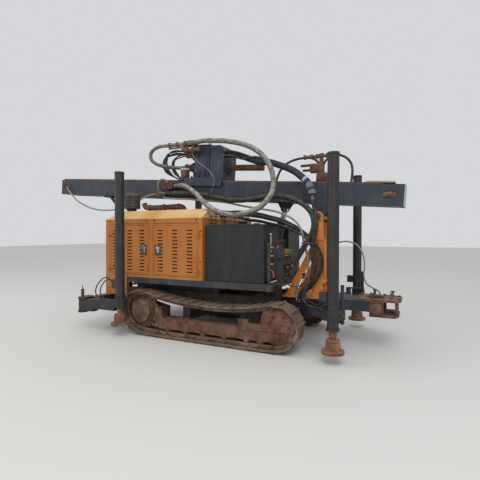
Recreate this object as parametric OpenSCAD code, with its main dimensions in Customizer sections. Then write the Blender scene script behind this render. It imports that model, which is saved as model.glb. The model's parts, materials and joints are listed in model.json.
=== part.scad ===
// Crawler-mounted rotary drilling rig, mast laid down for travel.
// Millimetres. X runs to the drilling end, Y to the far side, Z up from the ground.

/* [View] */
// Which sub-part to show

/* [Tracks] */
// Distance from the centre plane to the middle of each track
track_y = 750; // [700:5:820]
// Width of a shoe
shoe_w = 300; // [250:10:400]
// Number of shoes on each track
shoe_count = 37; // [34:1:40]
// Height of the grouser bar on a shoe
grouser_h = 18; // [10:1:30]
// Thickness of the shoe plate
shoe_t = 8; // [6:1:14]
// Sprocket axle, distance behind the middle of the machine
sprocket_back = 517; // [480:5:560]
// Idler axle, distance ahead of the middle of the machine
idler_ahead = 1500; // [1450:5:1560]
// Pitch radius of the sprocket
sprocket_r = 261; // [250:1:270]
// Radius of the chain's pin line round the idler
idler_r = 246; // [235:1:250]
// Height of the sprocket axle
sprocket_z = 335; // [330:1:345]
// Sag of the top run
track_sag = 118; // [60:2:130]
// Height of the side beams of a track frame
beam_h = 140; // [110:5:160]

/* [Chassis] */
// Height of the underside of the main rails
rail_z = 420; // [400:5:440]
// Depth of the main rails
rail_h = 160; // [120:5:180]
// Outer face of the main rails from the centre plane
rail_out = 400; // [390:5:410]
// Inner face of the main rails from the centre plane
rail_in = 330; // [320:5:350]
// Front end of the main rails
rail_front = 1400; // [1390:5:1410]
// Depth of the deck's side rails
deck_rail_h = 80; // [60:5:100]
// Front end of the deck's side rails
deck_front = 1430; // [1400:5:1450]
// Top of the rear cross beam
rear_beam_top = 470; // [460:5:480]
// Top of the deck frame
deck_z = 800; // [780:5:820]
// Half width of the deck
deck_half = 800; // [760:5:820]
// Half width of the front box beam
nose_half = 220; // [200:5:240]
// Depth of the front box beam
nose_h = 129; // [110:1:140]

/* [Hood] */
// Rear end of the hood, behind the middle of the machine
hood_back = 1199; // [1150:1:1230]
// Front end of the hood, ahead of the middle of the machine
hood_front = 470; // [440:1:480]
// Height of the hood's side walls
hood_wall_h = 826; // [760:2:850]
// Rise of the sloped roof edge
roof_rise = 127; // [80:1:130]
// Width of the sloped roof edge
roof_slope_w = 180; // [120:5:240]
// Thickness of the hood's panels
panel_t = 30; // [20:1:40]
// Thickness of a door leaf
door_t = 24; // [15:1:30]
// Number of louvre slots in a column
louvre_rows = 13; // [8:1:15]
// Width of a louvre slot
louvre_w = 88; // [60:2:110]
// Height of a louvre slot
louvre_h = 15; // [10:1:20]

/* [Tanks] */
// Length of each side tank
tank_len = 809; // [700:1:830]
// Height of each side tank
tank_h = 725; // [600:5:760]
// Outer face of the tanks from the centre plane
tank_out = 760; // [720:5:790]
// Inner face of the tanks from the centre plane
tank_in = 210; // [200:5:300]

/* [Mast] */
// Length of the mast
mast_len = 5736; // [5600:2:5800]
// Depth of the mast beam
mast_h = 257; // [230:1:280]
// Half width of the mast beam
mast_half = 200; // [180:2:215]
// Wall thickness of the mast beam
mast_wall = 12; // [8:1:16]
// Slope of the mast as it lies, rear end up
mast_tilt = 4.04; // [3:0.01:5]
// Height of the mast's axis over the middle of the machine
mast_z = 2070.5; // [2050:0.5:2090]
// Height of the guide rails on the mast
guide_h = 18; // [12:1:24]
// Pivot of the mast, ahead of the middle of the machine
pivot_x = 1860; // [1840:1:1880]
// Height of the mast's pivot
pivot_z = 1635; // [1620:1:1650]
// Radius of the mast's pivot pin
pivot_r = 25; // [20:1:30]

/* [Rotary head] */
// Height of the spindle's axis over the mast's axis
spindle_w = 360; // [340:1:380]
// Radius of the drill pipe
pipe_r = 45; // [38:1:52]
// Length of the drill pipe stub
pipe_len = 540; // [300:10:700]
// Half width of the head's gearbox
head_half = 190; // [160:5:200]

/* [Raising gear] */
// Foot pin of the raising cylinder, ahead of the middle of the machine
ram_x = 1050; // [1030:1:1070]
// Height of the foot pin of the raising cylinder
ram_z = 700; // [690:1:710]
// Place of the rod's pin along the mast
ram_u = 1350; // [1330:1:1370]
// Drop of the rod's pin below the mast's axis
ram_drop = 220; // [210:1:230]
// Outer radius of the cylinder barrel
ram_barrel_r = 62; // [50:1:70]
// Radius of the cylinder rod
ram_rod_r = 36; // [25:1:40]

/* [Outriggers] */
// Radius of a leg tube
leg_r = 63.5; // [57:0.5:70]
// Height of the top of a leg tube
leg_top = 2293; // [2200:1:2350]
// Height of the bottom of a leg tube
leg_bottom = 358; // [350:1:380]
// Radius of the jack rod
jack_r = 42; // [35:1:46]
// Radius of the foot's flange
foot_r = 124; // [110:1:125]
// Clearance under the feet when parked
foot_gap = 116; // [100:1:130]
// Front legs, distance from the centre plane
leg_y = 900; // [890:1:915]
// Rear legs, distance from the centre plane
rear_leg_y = 1030; // [1030:1:1045]
// Rear legs, behind the middle of the machine
leg_back = 716; // [700:1:730]
// Lift of the rear feet over the front ones
rear_lift = 41; // [0:1:60]
// Front legs, ahead of the middle of the machine
leg_ahead = 2174; // [2165:1:2190]
// Hinge of the rear arms, behind the middle of the machine
rear_hinge_x = 1429; // [1420:1:1440]
// Radius of the rear hinge pins
hinge_r = 22; // [18:1:26]

/* [Clearances] */
// Radial gap between a pin and its bore
pin_gap = 0.05; // [0.02:0.01:0.1]
// Gap between parts that move past each other
run_gap = 5; // [5:0.5:8]

/* [Hidden] */
$fn = 48;
in_link = 26;
out_link = 31;
pad_h = out_link + shoe_t + grouser_h;
idler_z = idler_r + pad_h;
rail_top = rail_z + rail_h;
rear_beam_half = 65;
post_x = [50 - hood_back, hood_front - 20, rail_front - 35];
nose_z = 465;
nose_top = nose_z + nose_h;
hood_z = deck_z;
eave_z = hood_z + hood_wall_h;
roof_z = eave_z + roof_rise;
pivot_u = pivot_x * cos(mast_tilt) - (pivot_z - mast_z) * sin(mast_tilt);
pivot_w = pivot_x * sin(mast_tilt) + (pivot_z - mast_z) * cos(mast_tilt);
bore_x = pivot_x + spindle_w - pivot_w;
guide_top = mast_h / 2 + guide_h;
ram_head = mast_point(ram_u, -ram_drop);
ram_rest = norm([ram_head[0] - ram_x, ram_head[1] - ram_z]);
ram_lean = atan2(ram_head[0] - ram_x, ram_head[1] - ram_z);
rest_seat = mast_point(-1765, -mast_h / 2 - 28);
front_pin = [leg_ahead + 88, leg_y - 70];
splay_end = [leg_ahead - 104, leg_y - 140];

// A point of the mast's own frame as [x, z] of the machine
function mast_point(u, w) = [u * cos(mast_tilt) + w * sin(mast_tilt), mast_z - u * sin(mast_tilt) + w * cos(mast_tilt)];

// Box between two corners
module block(a, b) {
  translate(a) cube(b - a);
}

// The same shape on the near and the far side
module both_sides() {
  children();
  mirror([0, 1, 0]) children();
}

// Cylinder along Y between two stations
module disc_y(r, y0, y1) {
  translate([0, y1, 0]) rotate([90, 0, 0]) cylinder(r = r, h = y1 - y0);
}

// Cylinder along X between two stations
module disc_x(r, x0, x1) {
  translate([x0, 0, 0]) rotate([0, 90, 0]) cylinder(r = r, h = x1 - x0);
}

// Flat plate standing in the XZ plane between two stations along Y
module plate_y(y0, y1) {
  translate([0, y1, 0]) rotate([90, 0, 0]) linear_extrude(y1 - y0) children();
}

// Flat bar between two points of the plane, as wide as 2 * r, with round ends
module bar_2d(a, b, r) {
  l = norm(b - a);
  translate(a) rotate(atan2(b[1] - a[1], b[0] - a[0])) translate([0, 1 - r]) square([l, 2 * r - 2]);
  translate(a) circle(r = r);
  translate(b) circle(r = r);
}

// Puts a shape drawn in the mast's frame onto the machine
module on_mast() {
  translate([0, 0, mast_z]) rotate([0, mast_tilt, 0]) children();
}

// Chain line of a track, as points of the loop in the XZ plane
function arc_points(cx, cz, r, a0, a1, n) = [for (i = [0:n]) let (a = a0 + (a1 - a0) * i / n) [cx + r * cos(a), cz + r * sin(a)]];
top_a = [idler_ahead, idler_z + idler_r];
top_b = [-sprocket_back, sprocket_z + sprocket_r];
loop_line = concat(
  arc_points(idler_ahead, idler_z, idler_r, -90, 90, 20),
  [for (i = [1:15]) let (t = i / 16, k = t < 0.45 ? t / 0.45 : (1 - t) / 0.55) [top_a[0] + (top_b[0] - top_a[0]) * t, top_a[1] + (top_b[1] - top_a[1]) * t - track_sag * (1 - pow(1 - k, 2))]],
  arc_points(-sprocket_back, sprocket_z, sprocket_r, 90, 270, 20),
  [[-sprocket_back + 330, pad_h]]
);
loop_n = len(loop_line);
function run_length(i) = i == 0 ? 0 : run_length(i - 1) + norm(loop_line[i % loop_n] - loop_line[i - 1]);
loop_s = [for (i = [0:loop_n]) run_length(i)];
loop_x = [for (i = [0:loop_n]) [loop_s[i], loop_line[i % loop_n][0]]];
loop_z = [for (i = [0:loop_n]) [loop_s[i], loop_line[i % loop_n][1]]];
pitch = loop_s[loop_n] / shoe_count;
function pin(i) = let (s = (i % shoe_count) * pitch) [lookup(s, loop_x), lookup(s, loop_z)];
// A point of shoe i: along the pitch, then outward from the pin line
function on_shoe(i, along, out) = let (a = pin(i), b = pin(i + 1), t = (b - a) / norm(b - a)) a + t * along * norm(b - a) + [t[1], -t[0]] * out;

// Outline of one shoe as columns along the pitch and outward
shoe_cols = [[0.02, 33], [0.02, out_link + shoe_t], [0.8, out_link + shoe_t], [0.83, pad_h], [0.92, pad_h], [0.95, out_link + shoe_t], [0.98, 33]];

module track(y) {
  color("#6E5443")
    translate([0, y, 0]) {
      plate_y(-shoe_w / 2, shoe_w / 2)
        difference() {
          polygon([for (i = [0:shoe_count - 1], c = shoe_cols) on_shoe(i, c[0], c[1])]);
          polygon([for (i = [0:shoe_count - 1]) on_shoe(i, 0.5, 29)]);
        }
      for (s = [-62, 62])
        plate_y(s - 14, s + 14)
          difference() {
            polygon([for (i = [0:shoe_count - 1]) on_shoe(i, 0.5, 30)]);
            polygon([for (i = [0:shoe_count - 1], a = [0.15, 0.85]) on_shoe(i, a, -in_link)]);
          }
    }
}

module track_near() track(-track_y);
module track_far() track(track_y);

// Bottom rollers along a track, and the idler wheel's rim under the rails
roller_x = [-60, 225, 490, 800, 1110, 1290];
roller_r = 50;
roller_z = pad_h + in_link + 0.3 + roller_r;
idler_rim = idler_r * cos(pitch * 28.65 / idler_r) - in_link - 1.5;
beam_z = 125;
frame_y = 88;

module rollers() {
  color("#5F4A3D")
    both_sides()
      translate([0, -track_y, 0]) {
        for (x = roller_x)
          translate([x, 0, roller_z]) {
            disc_y(roller_r, -76, 76);
            disc_y(22, -frame_y, frame_y);
          }
        translate([idler_ahead, 0, idler_z]) {
          disc_y(idler_rim, -76, -46);
          disc_y(idler_rim, 46, 76);
          disc_y(idler_rim + 14, -40, 40);
          disc_y(60, 1 - frame_y, frame_y - 1);
        }
      }
}

module drive_sprockets() {
  color("#5A473C")
    both_sides()
      translate([-sprocket_back, -track_y, sprocket_z]) {
        difference() {
          plate_y(-20, 20)
            polygon([for (i = [0:83]) let (a = i * 360 / 84, r = i % 4 < 2 ? sprocket_r - 8 : sprocket_r - 30) [r * cos(a), r * sin(a)]]);
          for (a = [15:30:345]) rotate([0, a, 0]) translate([205, 0, 0]) disc_y(13, -21, 21);
        }
        disc_y(180, -45, -20);
        disc_y(155, -92, -45);
        disc_y(120, 20, 145);
        disc_y(90, 145, 240);
      }
}

module track_frames() {
  color("#6B4A3F")
    both_sides()
      translate([0, -track_y, 0]) {
        for (y = [-frame_y - 10, frame_y])
          plate_y(y, y + 10) {
            polygon([[-250, 208], [-190, beam_z], [1585, beam_z], [1668, beam_z + beam_h], [-147, beam_z + beam_h], [-147, 406], [-250, 406]]);
            for (x = roller_x) translate([x, roller_z]) circle(r = 34);
          }
        for (y = [1 - frame_y - 10, frame_y - 1])
          difference() {
            plate_y(y, y + 10)
              polygon([[1315, 240], [1315, 440], [1345, 490], [1420, 512], [1500, 520], [1590, 508], [1660, 465], [1715, 400], [1738, 330], [1720, 255], [1640, 240]]);
            for (h = [[1461, 425], [1598, 432], [1672, 316]]) translate([h[0], 0, h[1]]) disc_y(20, -120, 120);
          }
        block([-250, -frame_y, 208], [-147, frame_y, 406]);
        block([-200, -frame_y, beam_z + 100], [1200, frame_y, beam_z + beam_h]);
        block([1149, -frame_y - 24, 255], [1648, -frame_y - 10, 333]);
        block([1000, -frame_y, 250], [1136, -frame_y + 60, 364]);
        // motor mount plate behind the sprocket
        difference() {
          plate_y(frame_y, frame_y + 14)
            union() {
              translate([-sprocket_back, sprocket_z]) circle(r = 160);
              polygon([[-sprocket_back, 180], [-190, 150], [-147, 208], [-147, 406], [-sprocket_back, sprocket_z + 155]]);
            }
          translate([-sprocket_back, 0, sprocket_z]) disc_y(120 + pin_gap, 0, 200);
        }
      }
}

module main_rails() {
  color("#3B322C")
    both_sides() {
      block([-rear_hinge_x + rear_beam_half, -rail_out, rail_z], [rail_front, -rail_in, rail_top]);
      for (x = post_x) block([x - 35, -rail_out, rail_top - 5], [x + 35, -rail_in, deck_z - deck_rail_h]);
    }
}

module cross_beams() {
  color("#3B322C") {
    block([-rear_hinge_x - rear_beam_half, -rear_leg_y + 70, 300], [-rear_hinge_x + rear_beam_half, rear_leg_y - 70, rear_beam_top]);
    block([rail_front - 70, -rail_in, rail_z], [rail_front, rail_in, rail_top]);
    block([ram_x - 60, -rail_in, rail_z + 20], [ram_x + 60, rail_in, rail_top]);
    for (x = [130, 1010]) block([x - 60, -track_y + frame_y + 10, 230], [x + 60, track_y - frame_y - 10, rail_z]);
  }
  color("#262B3A") {
    both_sides() {
      // lugs of the raising cylinder's foot
      difference() {
        union() {
          block([ram_x - 45, 48, rail_top - 5], [ram_x + 45, 68, ram_z]);
          translate([ram_x, 0, ram_z]) disc_y(45, 48, 68);
        }
        translate([ram_x, 0, ram_z]) disc_y(25, 40, 80);
      }
      // clevis of a rear arm
      for (z = [275, rear_beam_top])
        translate([-rear_hinge_x, -rear_leg_y, z]) linear_extrude(25) bar_2d([0, 0], [0, 110], rear_beam_half);
      translate([-rear_hinge_x, -rear_leg_y, 265]) cylinder(r = hinge_r, h = 345);
      translate([-rear_hinge_x, -rear_leg_y, 610]) cylinder(r = 6, h = 55);
    }
    translate([ram_x, 0, ram_z]) disc_y(25, -80, 80);
  }
}

module nose_beam() {
  color("#262B3A") {
    difference() {
      block([rail_front, -nose_half, nose_z], [2470, nose_half, nose_top]);
      translate([bore_x, 0, 0]) cylinder(r = 125, h = 800);
    }
    both_sides() {
      // splayed front beam with its hinge plates and pin
      translate([0, 0, 455]) linear_extrude(85)
        difference() {
          bar_2d([1480, -nose_half - 5], [splay_end[0], -splay_end[1]], 42);
          translate([1300, -nose_half]) square([300, nose_half]);
        }
      translate([splay_end[0], -splay_end[1], 437]) cylinder(r = 36, h = 180);
      for (z = [437, 599])
        translate([0, 0, z]) linear_extrude(18) bar_2d([splay_end[0], -splay_end[1]], [front_pin[0], -front_pin[1]], 24);
      translate([front_pin[0], -front_pin[1], 425]) cylinder(r = 20, h = 430);
    }
  }
}

module deck_frame() {
  color("#22262C") {
    both_sides() block([-hood_back, -deck_half, deck_z - deck_rail_h], [deck_front, -deck_half + 60, deck_z]);
    for (x = post_x) block([x - 30, -deck_half + 60, deck_z - deck_rail_h], [x + 30, deck_half - 60, deck_z]);
  }
}

// Doors of the hood as columns: rear edge, front edge, hinge at the front (1) or rear (-1), louvre columns
door_bottom = hood_z + 40;
door_top = hood_z + 755;
door_cols = [[-1118, -398, -1, [-1021, -746, -525]], [-326, 405, 1, [-206, 36, 273]]];
hinge_heights = [hood_z + 130, hood_z + 620];
hinge_out = 10;

module hood_frame() {
  color("#B8691F") {
    both_sides() {
      difference() {
        block([-hood_back, -deck_half, hood_z], [hood_front, -deck_half + panel_t, eave_z]);
        for (d = door_cols) block([d[0] - run_gap, -deck_half - 1, door_bottom - run_gap], [d[1] + run_gap, -deck_half + panel_t + 1, door_top + run_gap]);
      }
      block([-hood_back, -deck_half - 4, 530], [-800, -deck_half, hood_z + 15]);
      for (d = door_cols, z = hinge_heights) {
        x = d[2] > 0 ? d[1] : d[0];
        translate([x, -deck_half - hinge_out, z - 42]) cylinder(r = 8, h = 20);
        block([d[2] > 0 ? x : x - 34, -deck_half - hinge_out - 8, z - 42], [d[2] > 0 ? x + 34 : x, -deck_half - 2, z - 22]);
        block([d[2] > 0 ? x + 10 : x - 34, -deck_half - 3, z - 42], [d[2] > 0 ? x + 34 : x - 10, -deck_half, z - 22]);
        translate([x, -deck_half - hinge_out, z - 42]) cylinder(r = 4, h = 60);
      }
    }
    block([-hood_back, -deck_half + panel_t, hood_z], [-hood_back + panel_t, deck_half - panel_t, eave_z]);
    block([hood_front - panel_t, -deck_half + panel_t, hood_z], [hood_front, deck_half - panel_t, eave_z]);
  }
}

module hood_roof() {
  slope_x = roof_slope_w;
  color("#C98A3C")
    difference() {
      intersection() {
        translate([-hood_back, 0, 0]) rotate([90, 0, 90]) linear_extrude(hood_back + hood_front)
          polygon([[-deck_half, eave_z], [deck_half, eave_z], [deck_half - roof_slope_w, roof_z], [-deck_half + roof_slope_w, roof_z]]);
        plate_y(-deck_half, deck_half)
          polygon([[-hood_back, eave_z], [hood_front, eave_z], [hood_front, roof_z], [-hood_back + slope_x, roof_z]]);
      }
      intersection() {
        translate([-hood_back, 0, 0]) rotate([90, 0, 90]) linear_extrude(hood_back + hood_front)
          polygon([[-deck_half + panel_t * 1.2, eave_z - 1], [deck_half - panel_t * 1.2, eave_z - 1], [deck_half - roof_slope_w - 12, roof_z - panel_t], [-deck_half + roof_slope_w + 12, roof_z - panel_t]]);
        plate_y(-deck_half, deck_half)
          polygon([[-hood_back + panel_t * 1.2, eave_z - 1], [hood_front - panel_t, eave_z - 1], [hood_front - panel_t, roof_z - panel_t], [-hood_back + slope_x + 12, roof_z - panel_t]]);
      }
    }
}

// One door of the near side: d is a row of door_cols
module door(d) {
  x = d[2] > 0 ? d[1] : d[0];
  color("#C06E1E") {
    difference() {
      block([d[0], -deck_half, door_bottom], [d[1], -deck_half + door_t, door_top]);
      for (c = d[3], i = [0:louvre_rows - 1])
        block([c - louvre_w / 2, -deck_half - 1, door_bottom + 55 + i * 46.5], [c + louvre_w / 2, -deck_half + door_t + 1, door_bottom + 55 + i * 46.5 + louvre_h]);
    }
    for (z = hinge_heights)
      difference() {
        union() {
          translate([x, -deck_half - hinge_out, z - 21]) cylinder(r = 8, h = 38);
          block([d[2] > 0 ? x - 60 : x, -deck_half - hinge_out, z - 21], [d[2] > 0 ? x : x + 60, -deck_half, z + 17]);
        }
        translate([x, -deck_half - hinge_out, z - 50]) cylinder(r = 4 + pin_gap, h = 100);
      }
  }
  // paddle latch
  lx = d[2] > 0 ? d[0] + 85 : d[1] - 85;
  color("#33322F")
    difference() {
      block([lx - 52, -deck_half - 10, hood_z + 320], [lx + 52, -deck_half, hood_z + 460]);
      block([lx - 30, -deck_half - 11, hood_z + 345], [lx + 30, -deck_half - 3, hood_z + 435]);
    }
}

module door_near_rear() door(door_cols[0]);
module door_near_front() door(door_cols[1]);
module door_far_rear() mirror([0, 1, 0]) door(door_cols[0]);
module door_far_front() mirror([0, 1, 0]) door(door_cols[1]);

module power_pack() {
  color("#4A4A46") block([-1000, -345, rail_top], [380, 345, 1450]);
}

module oil_tank() {
  color("#24282B") {
    block([502, -tank_out, deck_z], [502 + tank_len, -tank_in, deck_z + tank_h]);
    translate([900, -(tank_out + tank_in) / 2, deck_z + tank_h]) cylinder(r = 60, h = 30);
  }
}

module fuel_tank() {
  color("#24282B") {
    block([502, tank_in, deck_z], [502 + tank_len, tank_out, deck_z + tank_h]);
    translate([700, (tank_out + tank_in) / 2, deck_z + tank_h]) cylinder(r = 45, h = 35);
  }
}

module valve_bank() {
  color("#34302C") {
    block([post_x[2] + 30, -deck_half + 160, deck_z - 20], [1540, -360, deck_z]);
    block([1420, -600, deck_z], [1500, -400, 1120]);
    block([1400, -630, 1120], [1520, -370, 1230]);
    for (y = [-600:50:-400]) {
      translate([1460, y, 1230]) cylinder(r = 6, h = 90);
      translate([1460, y, 1320]) cylinder(r = 13, h = 24);
    }
  }
}

module mast_support() {
  color("#C77A2E") {
    block([1390, -330, nose_top], [1960, 330, nose_top + 18]);
    both_sides()
      difference() {
        plate_y(-300, -270)
          union() {
            polygon([[1790, nose_top + 10], [1875, nose_top + 10], [1945, 880], [1945, 1345], [pivot_x + 65, 1400], [pivot_x + 65, pivot_z], [pivot_x - 65, pivot_z], [pivot_x - 65, 1400], [1785, 1345]]);
            translate([pivot_x, pivot_z]) circle(r = 65);
            polygon([[1430, nose_top + 10], [1535, nose_top + 10], [1800, 1150], [1800, 1310]]);
          }
        translate([pivot_x, 0, pivot_z]) disc_y(pivot_r, -340, -200);
      }
    translate([1840, 0, 760]) disc_y(30, -270, 270);
  }
  color("#8A8578")
    translate([pivot_x, 0, pivot_z]) {
      disc_y(pivot_r, -322, 322);
      both_sides() disc_y(40, -270, -242);
    }
}

module rod_table() {
  color("#7A4B35") {
    difference() {
      union() {
        translate([0, 0, nose_top]) linear_extrude(26) polygon([[2310, -230], [2775, -230], [2830, -150], [2830, 150], [2775, 230], [2310, 230]]);
        translate([0, 0, 410]) linear_extrude(26) polygon([[2475, -235], [2765, -235], [2805, -140], [2805, 140], [2765, 235], [2475, 235]]);
        both_sides() block([2475, -235, 436], [2640, -205, nose_top]);
        block([2760, -160, 436], [2790, 160, nose_top]);
      }
      translate([bore_x, 0, 300]) cylinder(r = 110, h = 500);
    }
    both_sides() {
      translate([2560, 0, 515]) disc_y(62, -340, -235);
      for (p = [[2720, 110], [2500, 170]]) translate([p[0], -p[1], nose_top + 26]) {
        cylinder(r = 16, h = 60);
        translate([0, 0, 60]) cylinder(r = 26, h = 12);
      }
    }
  }
}

module air_cleaner() {
  color("#3A3C3E")
    translate([-1000, -450, roof_z]) {
      cylinder(r = 60, h = 50);
      translate([0, 0, 50]) cylinder(r = 118, h = 180);
      translate([0, 0, 230]) cylinder(r1 = 118, r2 = 60, h = 60);
    }
}

module mast_rest() {
  color("#3A3F48") {
    block([-1290, -400, rail_top], [-1205, 400, rail_top + 20]);
    both_sides() {
      block([-1255, -120, rail_top + 20], [-1215, -80, 1530]);
      plate_y(-110, -85) bar_2d([-1240, 1480], rest_seat, 20);
    }
    on_mast() block([-1850, -180, -mast_h / 2 - 31], [-1680, 180, -mast_h / 2 - run_gap]);
  }
}

module hose_rings() {
  color("#6A5A48")
    translate([1790, -413, 1300]) rotate_extrude() translate([107, 0]) circle(r = 6);
}

// Lug plate hanging under the mast, drilled at a point of the mast's frame
module mast_lug(u, w, r, bore, v0, v1) {
  difference() {
    plate_y(v0, v1)
      difference() {
        union() {
          translate([u, w]) circle(r = r);
          polygon([[u - r, w], [u + r, w], [u + r + 60, -mast_h / 2 + 2], [u - r - 60, -mast_h / 2 + 2]]);
        }
        translate([u, w]) circle(r = bore);
      }
  }
}

module mast_beam() {
  color("#343B45")
    on_mast() {
      difference() {
        block([-mast_len / 2, -mast_half, -mast_h / 2], [mast_len / 2, mast_half, mast_h / 2]);
        block([-mast_len / 2 + 30, -mast_half + mast_wall, -mast_h / 2 + mast_wall], [mast_len / 2 - 30, mast_half - mast_wall, mast_h / 2 - mast_wall]);
        // slots of the chain adjusters
        for (s = [-1, 1])
          plate_y(-mast_half - 5, mast_half + 5)
            bar_2d([s * (mast_len / 2 - 210), 0], [s * (mast_len / 2 - 120), 0], 45);
        // slot of the feed chain in the top plate
        block([-mast_len / 2 + 200, -60, 0], [mast_len / 2 - 200, 60, mast_h]);
      }
      both_sides() {
        block([pivot_u - 130, -mast_half - 35, -mast_h / 2 - 20], [pivot_u + 130, -mast_half, -mast_h / 2 + 90]);
        mast_lug(pivot_u, pivot_w, 60, pivot_r + pin_gap, -mast_half - 35, -mast_half);
        mast_lug(ram_u, -ram_drop, 42, 20, -70, -50);
      }
    }
}

module mast_rails() {
  color("#6B4A3D")
    on_mast()
      both_sides()
        block([-mast_len / 2 + 60, -mast_half, mast_h / 2], [mast_len / 2 - 260, -mast_half + 45, guide_top]);
}

module feed_sprockets() {
  color("#4F4238")
    on_mast()
      for (s = [-1, 1])
        translate([s * (mast_len / 2 - 165), 0, 0]) {
          disc_y(95, -14, 14);
          disc_y(28, -mast_half, mast_half);
          both_sides() block([-100, -mast_half + mast_wall, -80], [100, -mast_half + mast_wall + 12, 80]);
        }
}

module mast_brackets() {
  color("#7A4632")
    on_mast() {
      block([-545, -mast_half - 45, 0], [-360, -mast_half, 50]);
      block([-545, -mast_half - 105, 0], [-360, -mast_half - 45, 90]);
      block([1650, mast_half, -30], [1850, mast_half + 45, 50]);
      block([1650, mast_half + 45, -30], [1850, mast_half + 160, 180]);
      block([1690, mast_half + 45, 180], [1830, mast_half + 160, 330]);
    }
}

module head_carriage() {
  w0 = guide_top + 3;
  color("#3A3F57")
    on_mast() {
      block([-205, -235, w0], [435, 235, w0 + 24]);
      both_sides() {
        block([-205, -235, 60], [435, -mast_half - run_gap, w0]);
        for (u = [-190, 330]) block([u, -195, guide_top + 0.3], [u + 90, -160, w0]);
      }
    }
}

module head_gearbox() {
  w0 = guide_top + 27;
  color("#3A3F57")
    on_mast()
      difference() {
        union() {
          block([-60, -head_half, w0], [195, head_half, 668]);
          block([-110, -head_half - 20, w0], [215, head_half + 20, w0 + 22]);
          plate_y(-head_half - 15, head_half + 15)
            polygon([[215, w0], [438, w0], [438, 570], [375, 655], [215, 655]]);
          block([195, -head_half + 20, w0], [215, head_half - 20, 600]);
        }
        translate([0, 0, spindle_w]) disc_x(50 + pin_gap, 380, 500);
      }
}

module head_motors() {
  color("#6A4434")
    on_mast() {
      for (y = [-95, 95]) translate([0, y, 560]) disc_x(62, -260, -60);
      translate([0, 0, spindle_w]) disc_x(70, -200, -60);
      translate([0, 0, spindle_w]) disc_x(45, -330, -200);
    }
}

module drill_spindle() {
  color("#6E4436")
    on_mast()
      translate([0, 0, spindle_w]) {
        disc_x(50, 385, 455);
        disc_x(pipe_r, 455, 445 + pipe_len);
      }
}

module raise_barrel() {
  color("#2B2F36")
    translate([ram_x, 0, ram_z])
      rotate([0, ram_lean, 0])
        difference() {
          union() {
            disc_y(44, -43, 43);
            translate([0, 0, 20]) cylinder(r = 43, h = 50);
            translate([0, 0, 60]) cylinder(r = ram_barrel_r, h = ram_rest - 200);
          }
          disc_y(25 + pin_gap, -60, 60);
          translate([0, 0, 100]) cylinder(r = ram_rod_r + pin_gap, h = 2000);
        }
}

module raise_rod() {
  color("#8E9094")
    translate([ram_x, 0, ram_z])
      rotate([0, ram_lean, 0]) {
        translate([0, 0, 110]) cylinder(r = ram_rod_r, h = ram_rest - 145);
        translate([0, 0, ram_rest]) disc_y(40, -44, 44);
      }
}

// Leg tube standing on the origin of its own axis
module leg_tube(top) {
  difference() {
    translate([0, 0, leg_bottom]) cylinder(r = leg_r, h = top - leg_bottom);
    translate([0, 0, leg_bottom - 1]) cylinder(r = jack_r + pin_gap, h = 60);
    translate([0, 0, leg_bottom + 40]) cylinder(r = leg_r - 10, h = top - leg_bottom - 70);
  }
}

module sleeve(r, z0, z1) {
  difference() {
    translate([0, 0, z0]) cylinder(r = r, h = z1 - z0);
    translate([0, 0, z0 - 1]) cylinder(r = leg_r - 5, h = z1 - z0 + 2);
  }
}

module outrigger_rear_near() {
  color("#2A2C30") {
    translate([-leg_back, -rear_leg_y, rear_lift]) {
      leg_tube(leg_top - 28 - rear_lift);
      sleeve(80, 366, 480);
      block([-125, -30, 620], [-leg_r + 3, 30, 740]);
    }
    difference() {
      union() {
        translate([-rear_hinge_x, -rear_leg_y, 300 + run_gap]) cylinder(r = 55, h = 170 - 2 * run_gap);
        block([-rear_hinge_x, -rear_leg_y - 48, 300 + run_gap], [-1180, -rear_leg_y + 48, 470 - run_gap]);
        block([-1200, -rear_leg_y - 52, 350], [-leg_back - 60, -rear_leg_y + 52, 490]);
      }
      translate([-rear_hinge_x, -rear_leg_y, 0]) cylinder(r = hinge_r + pin_gap, h = 800);
    }
  }
}

module outrigger_front_near() {
  color("#2A2C30")
    difference() {
      union() {
        translate([leg_ahead, -leg_y, 0]) {
          leg_tube(leg_top);
          sleeve(76, 478, 590);
          sleeve(73, 362, 388);
          block([-145, -45, 680], [-leg_r + 3, 20, 780]);
        }
        difference() {
          hull() {
            translate([leg_ahead, -leg_y, 478]) cylinder(r = 62, h = 112);
            translate([front_pin[0], -front_pin[1], 478]) cylinder(r = 32, h = 112);
          }
          translate([leg_ahead, -leg_y, 300]) cylinder(r = leg_r - 2, h = 400);
        }
      }
      translate([front_pin[0], -front_pin[1], 400]) cylinder(r = 20 + pin_gap, h = 300);
    }
}

module outrigger_rear_far() mirror([0, 1, 0]) outrigger_rear_near();
module outrigger_front_far() mirror([0, 1, 0]) outrigger_front_near();

module foot(x, y, lift) {
  color("#7E5A48")
    translate([x, y, lift]) {
      translate([0, 0, 305]) cylinder(r = jack_r, h = leg_top - 305 - 160);
      translate([0, 0, 268]) cylinder(r = 36, h = 37);
      translate([0, 0, foot_gap + 34]) cylinder(r1 = 85, r2 = 76, h = 268 - foot_gap - 34);
      translate([0, 0, foot_gap]) cylinder(r = foot_r, h = 34);
    }
}

module foot_rear_near() foot(-leg_back, -rear_leg_y, rear_lift);
module foot_rear_far() foot(-leg_back, rear_leg_y, rear_lift);
module foot_front_near() foot(leg_ahead, -leg_y, 0);
module foot_front_far() foot(leg_ahead, leg_y, 0);

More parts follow.
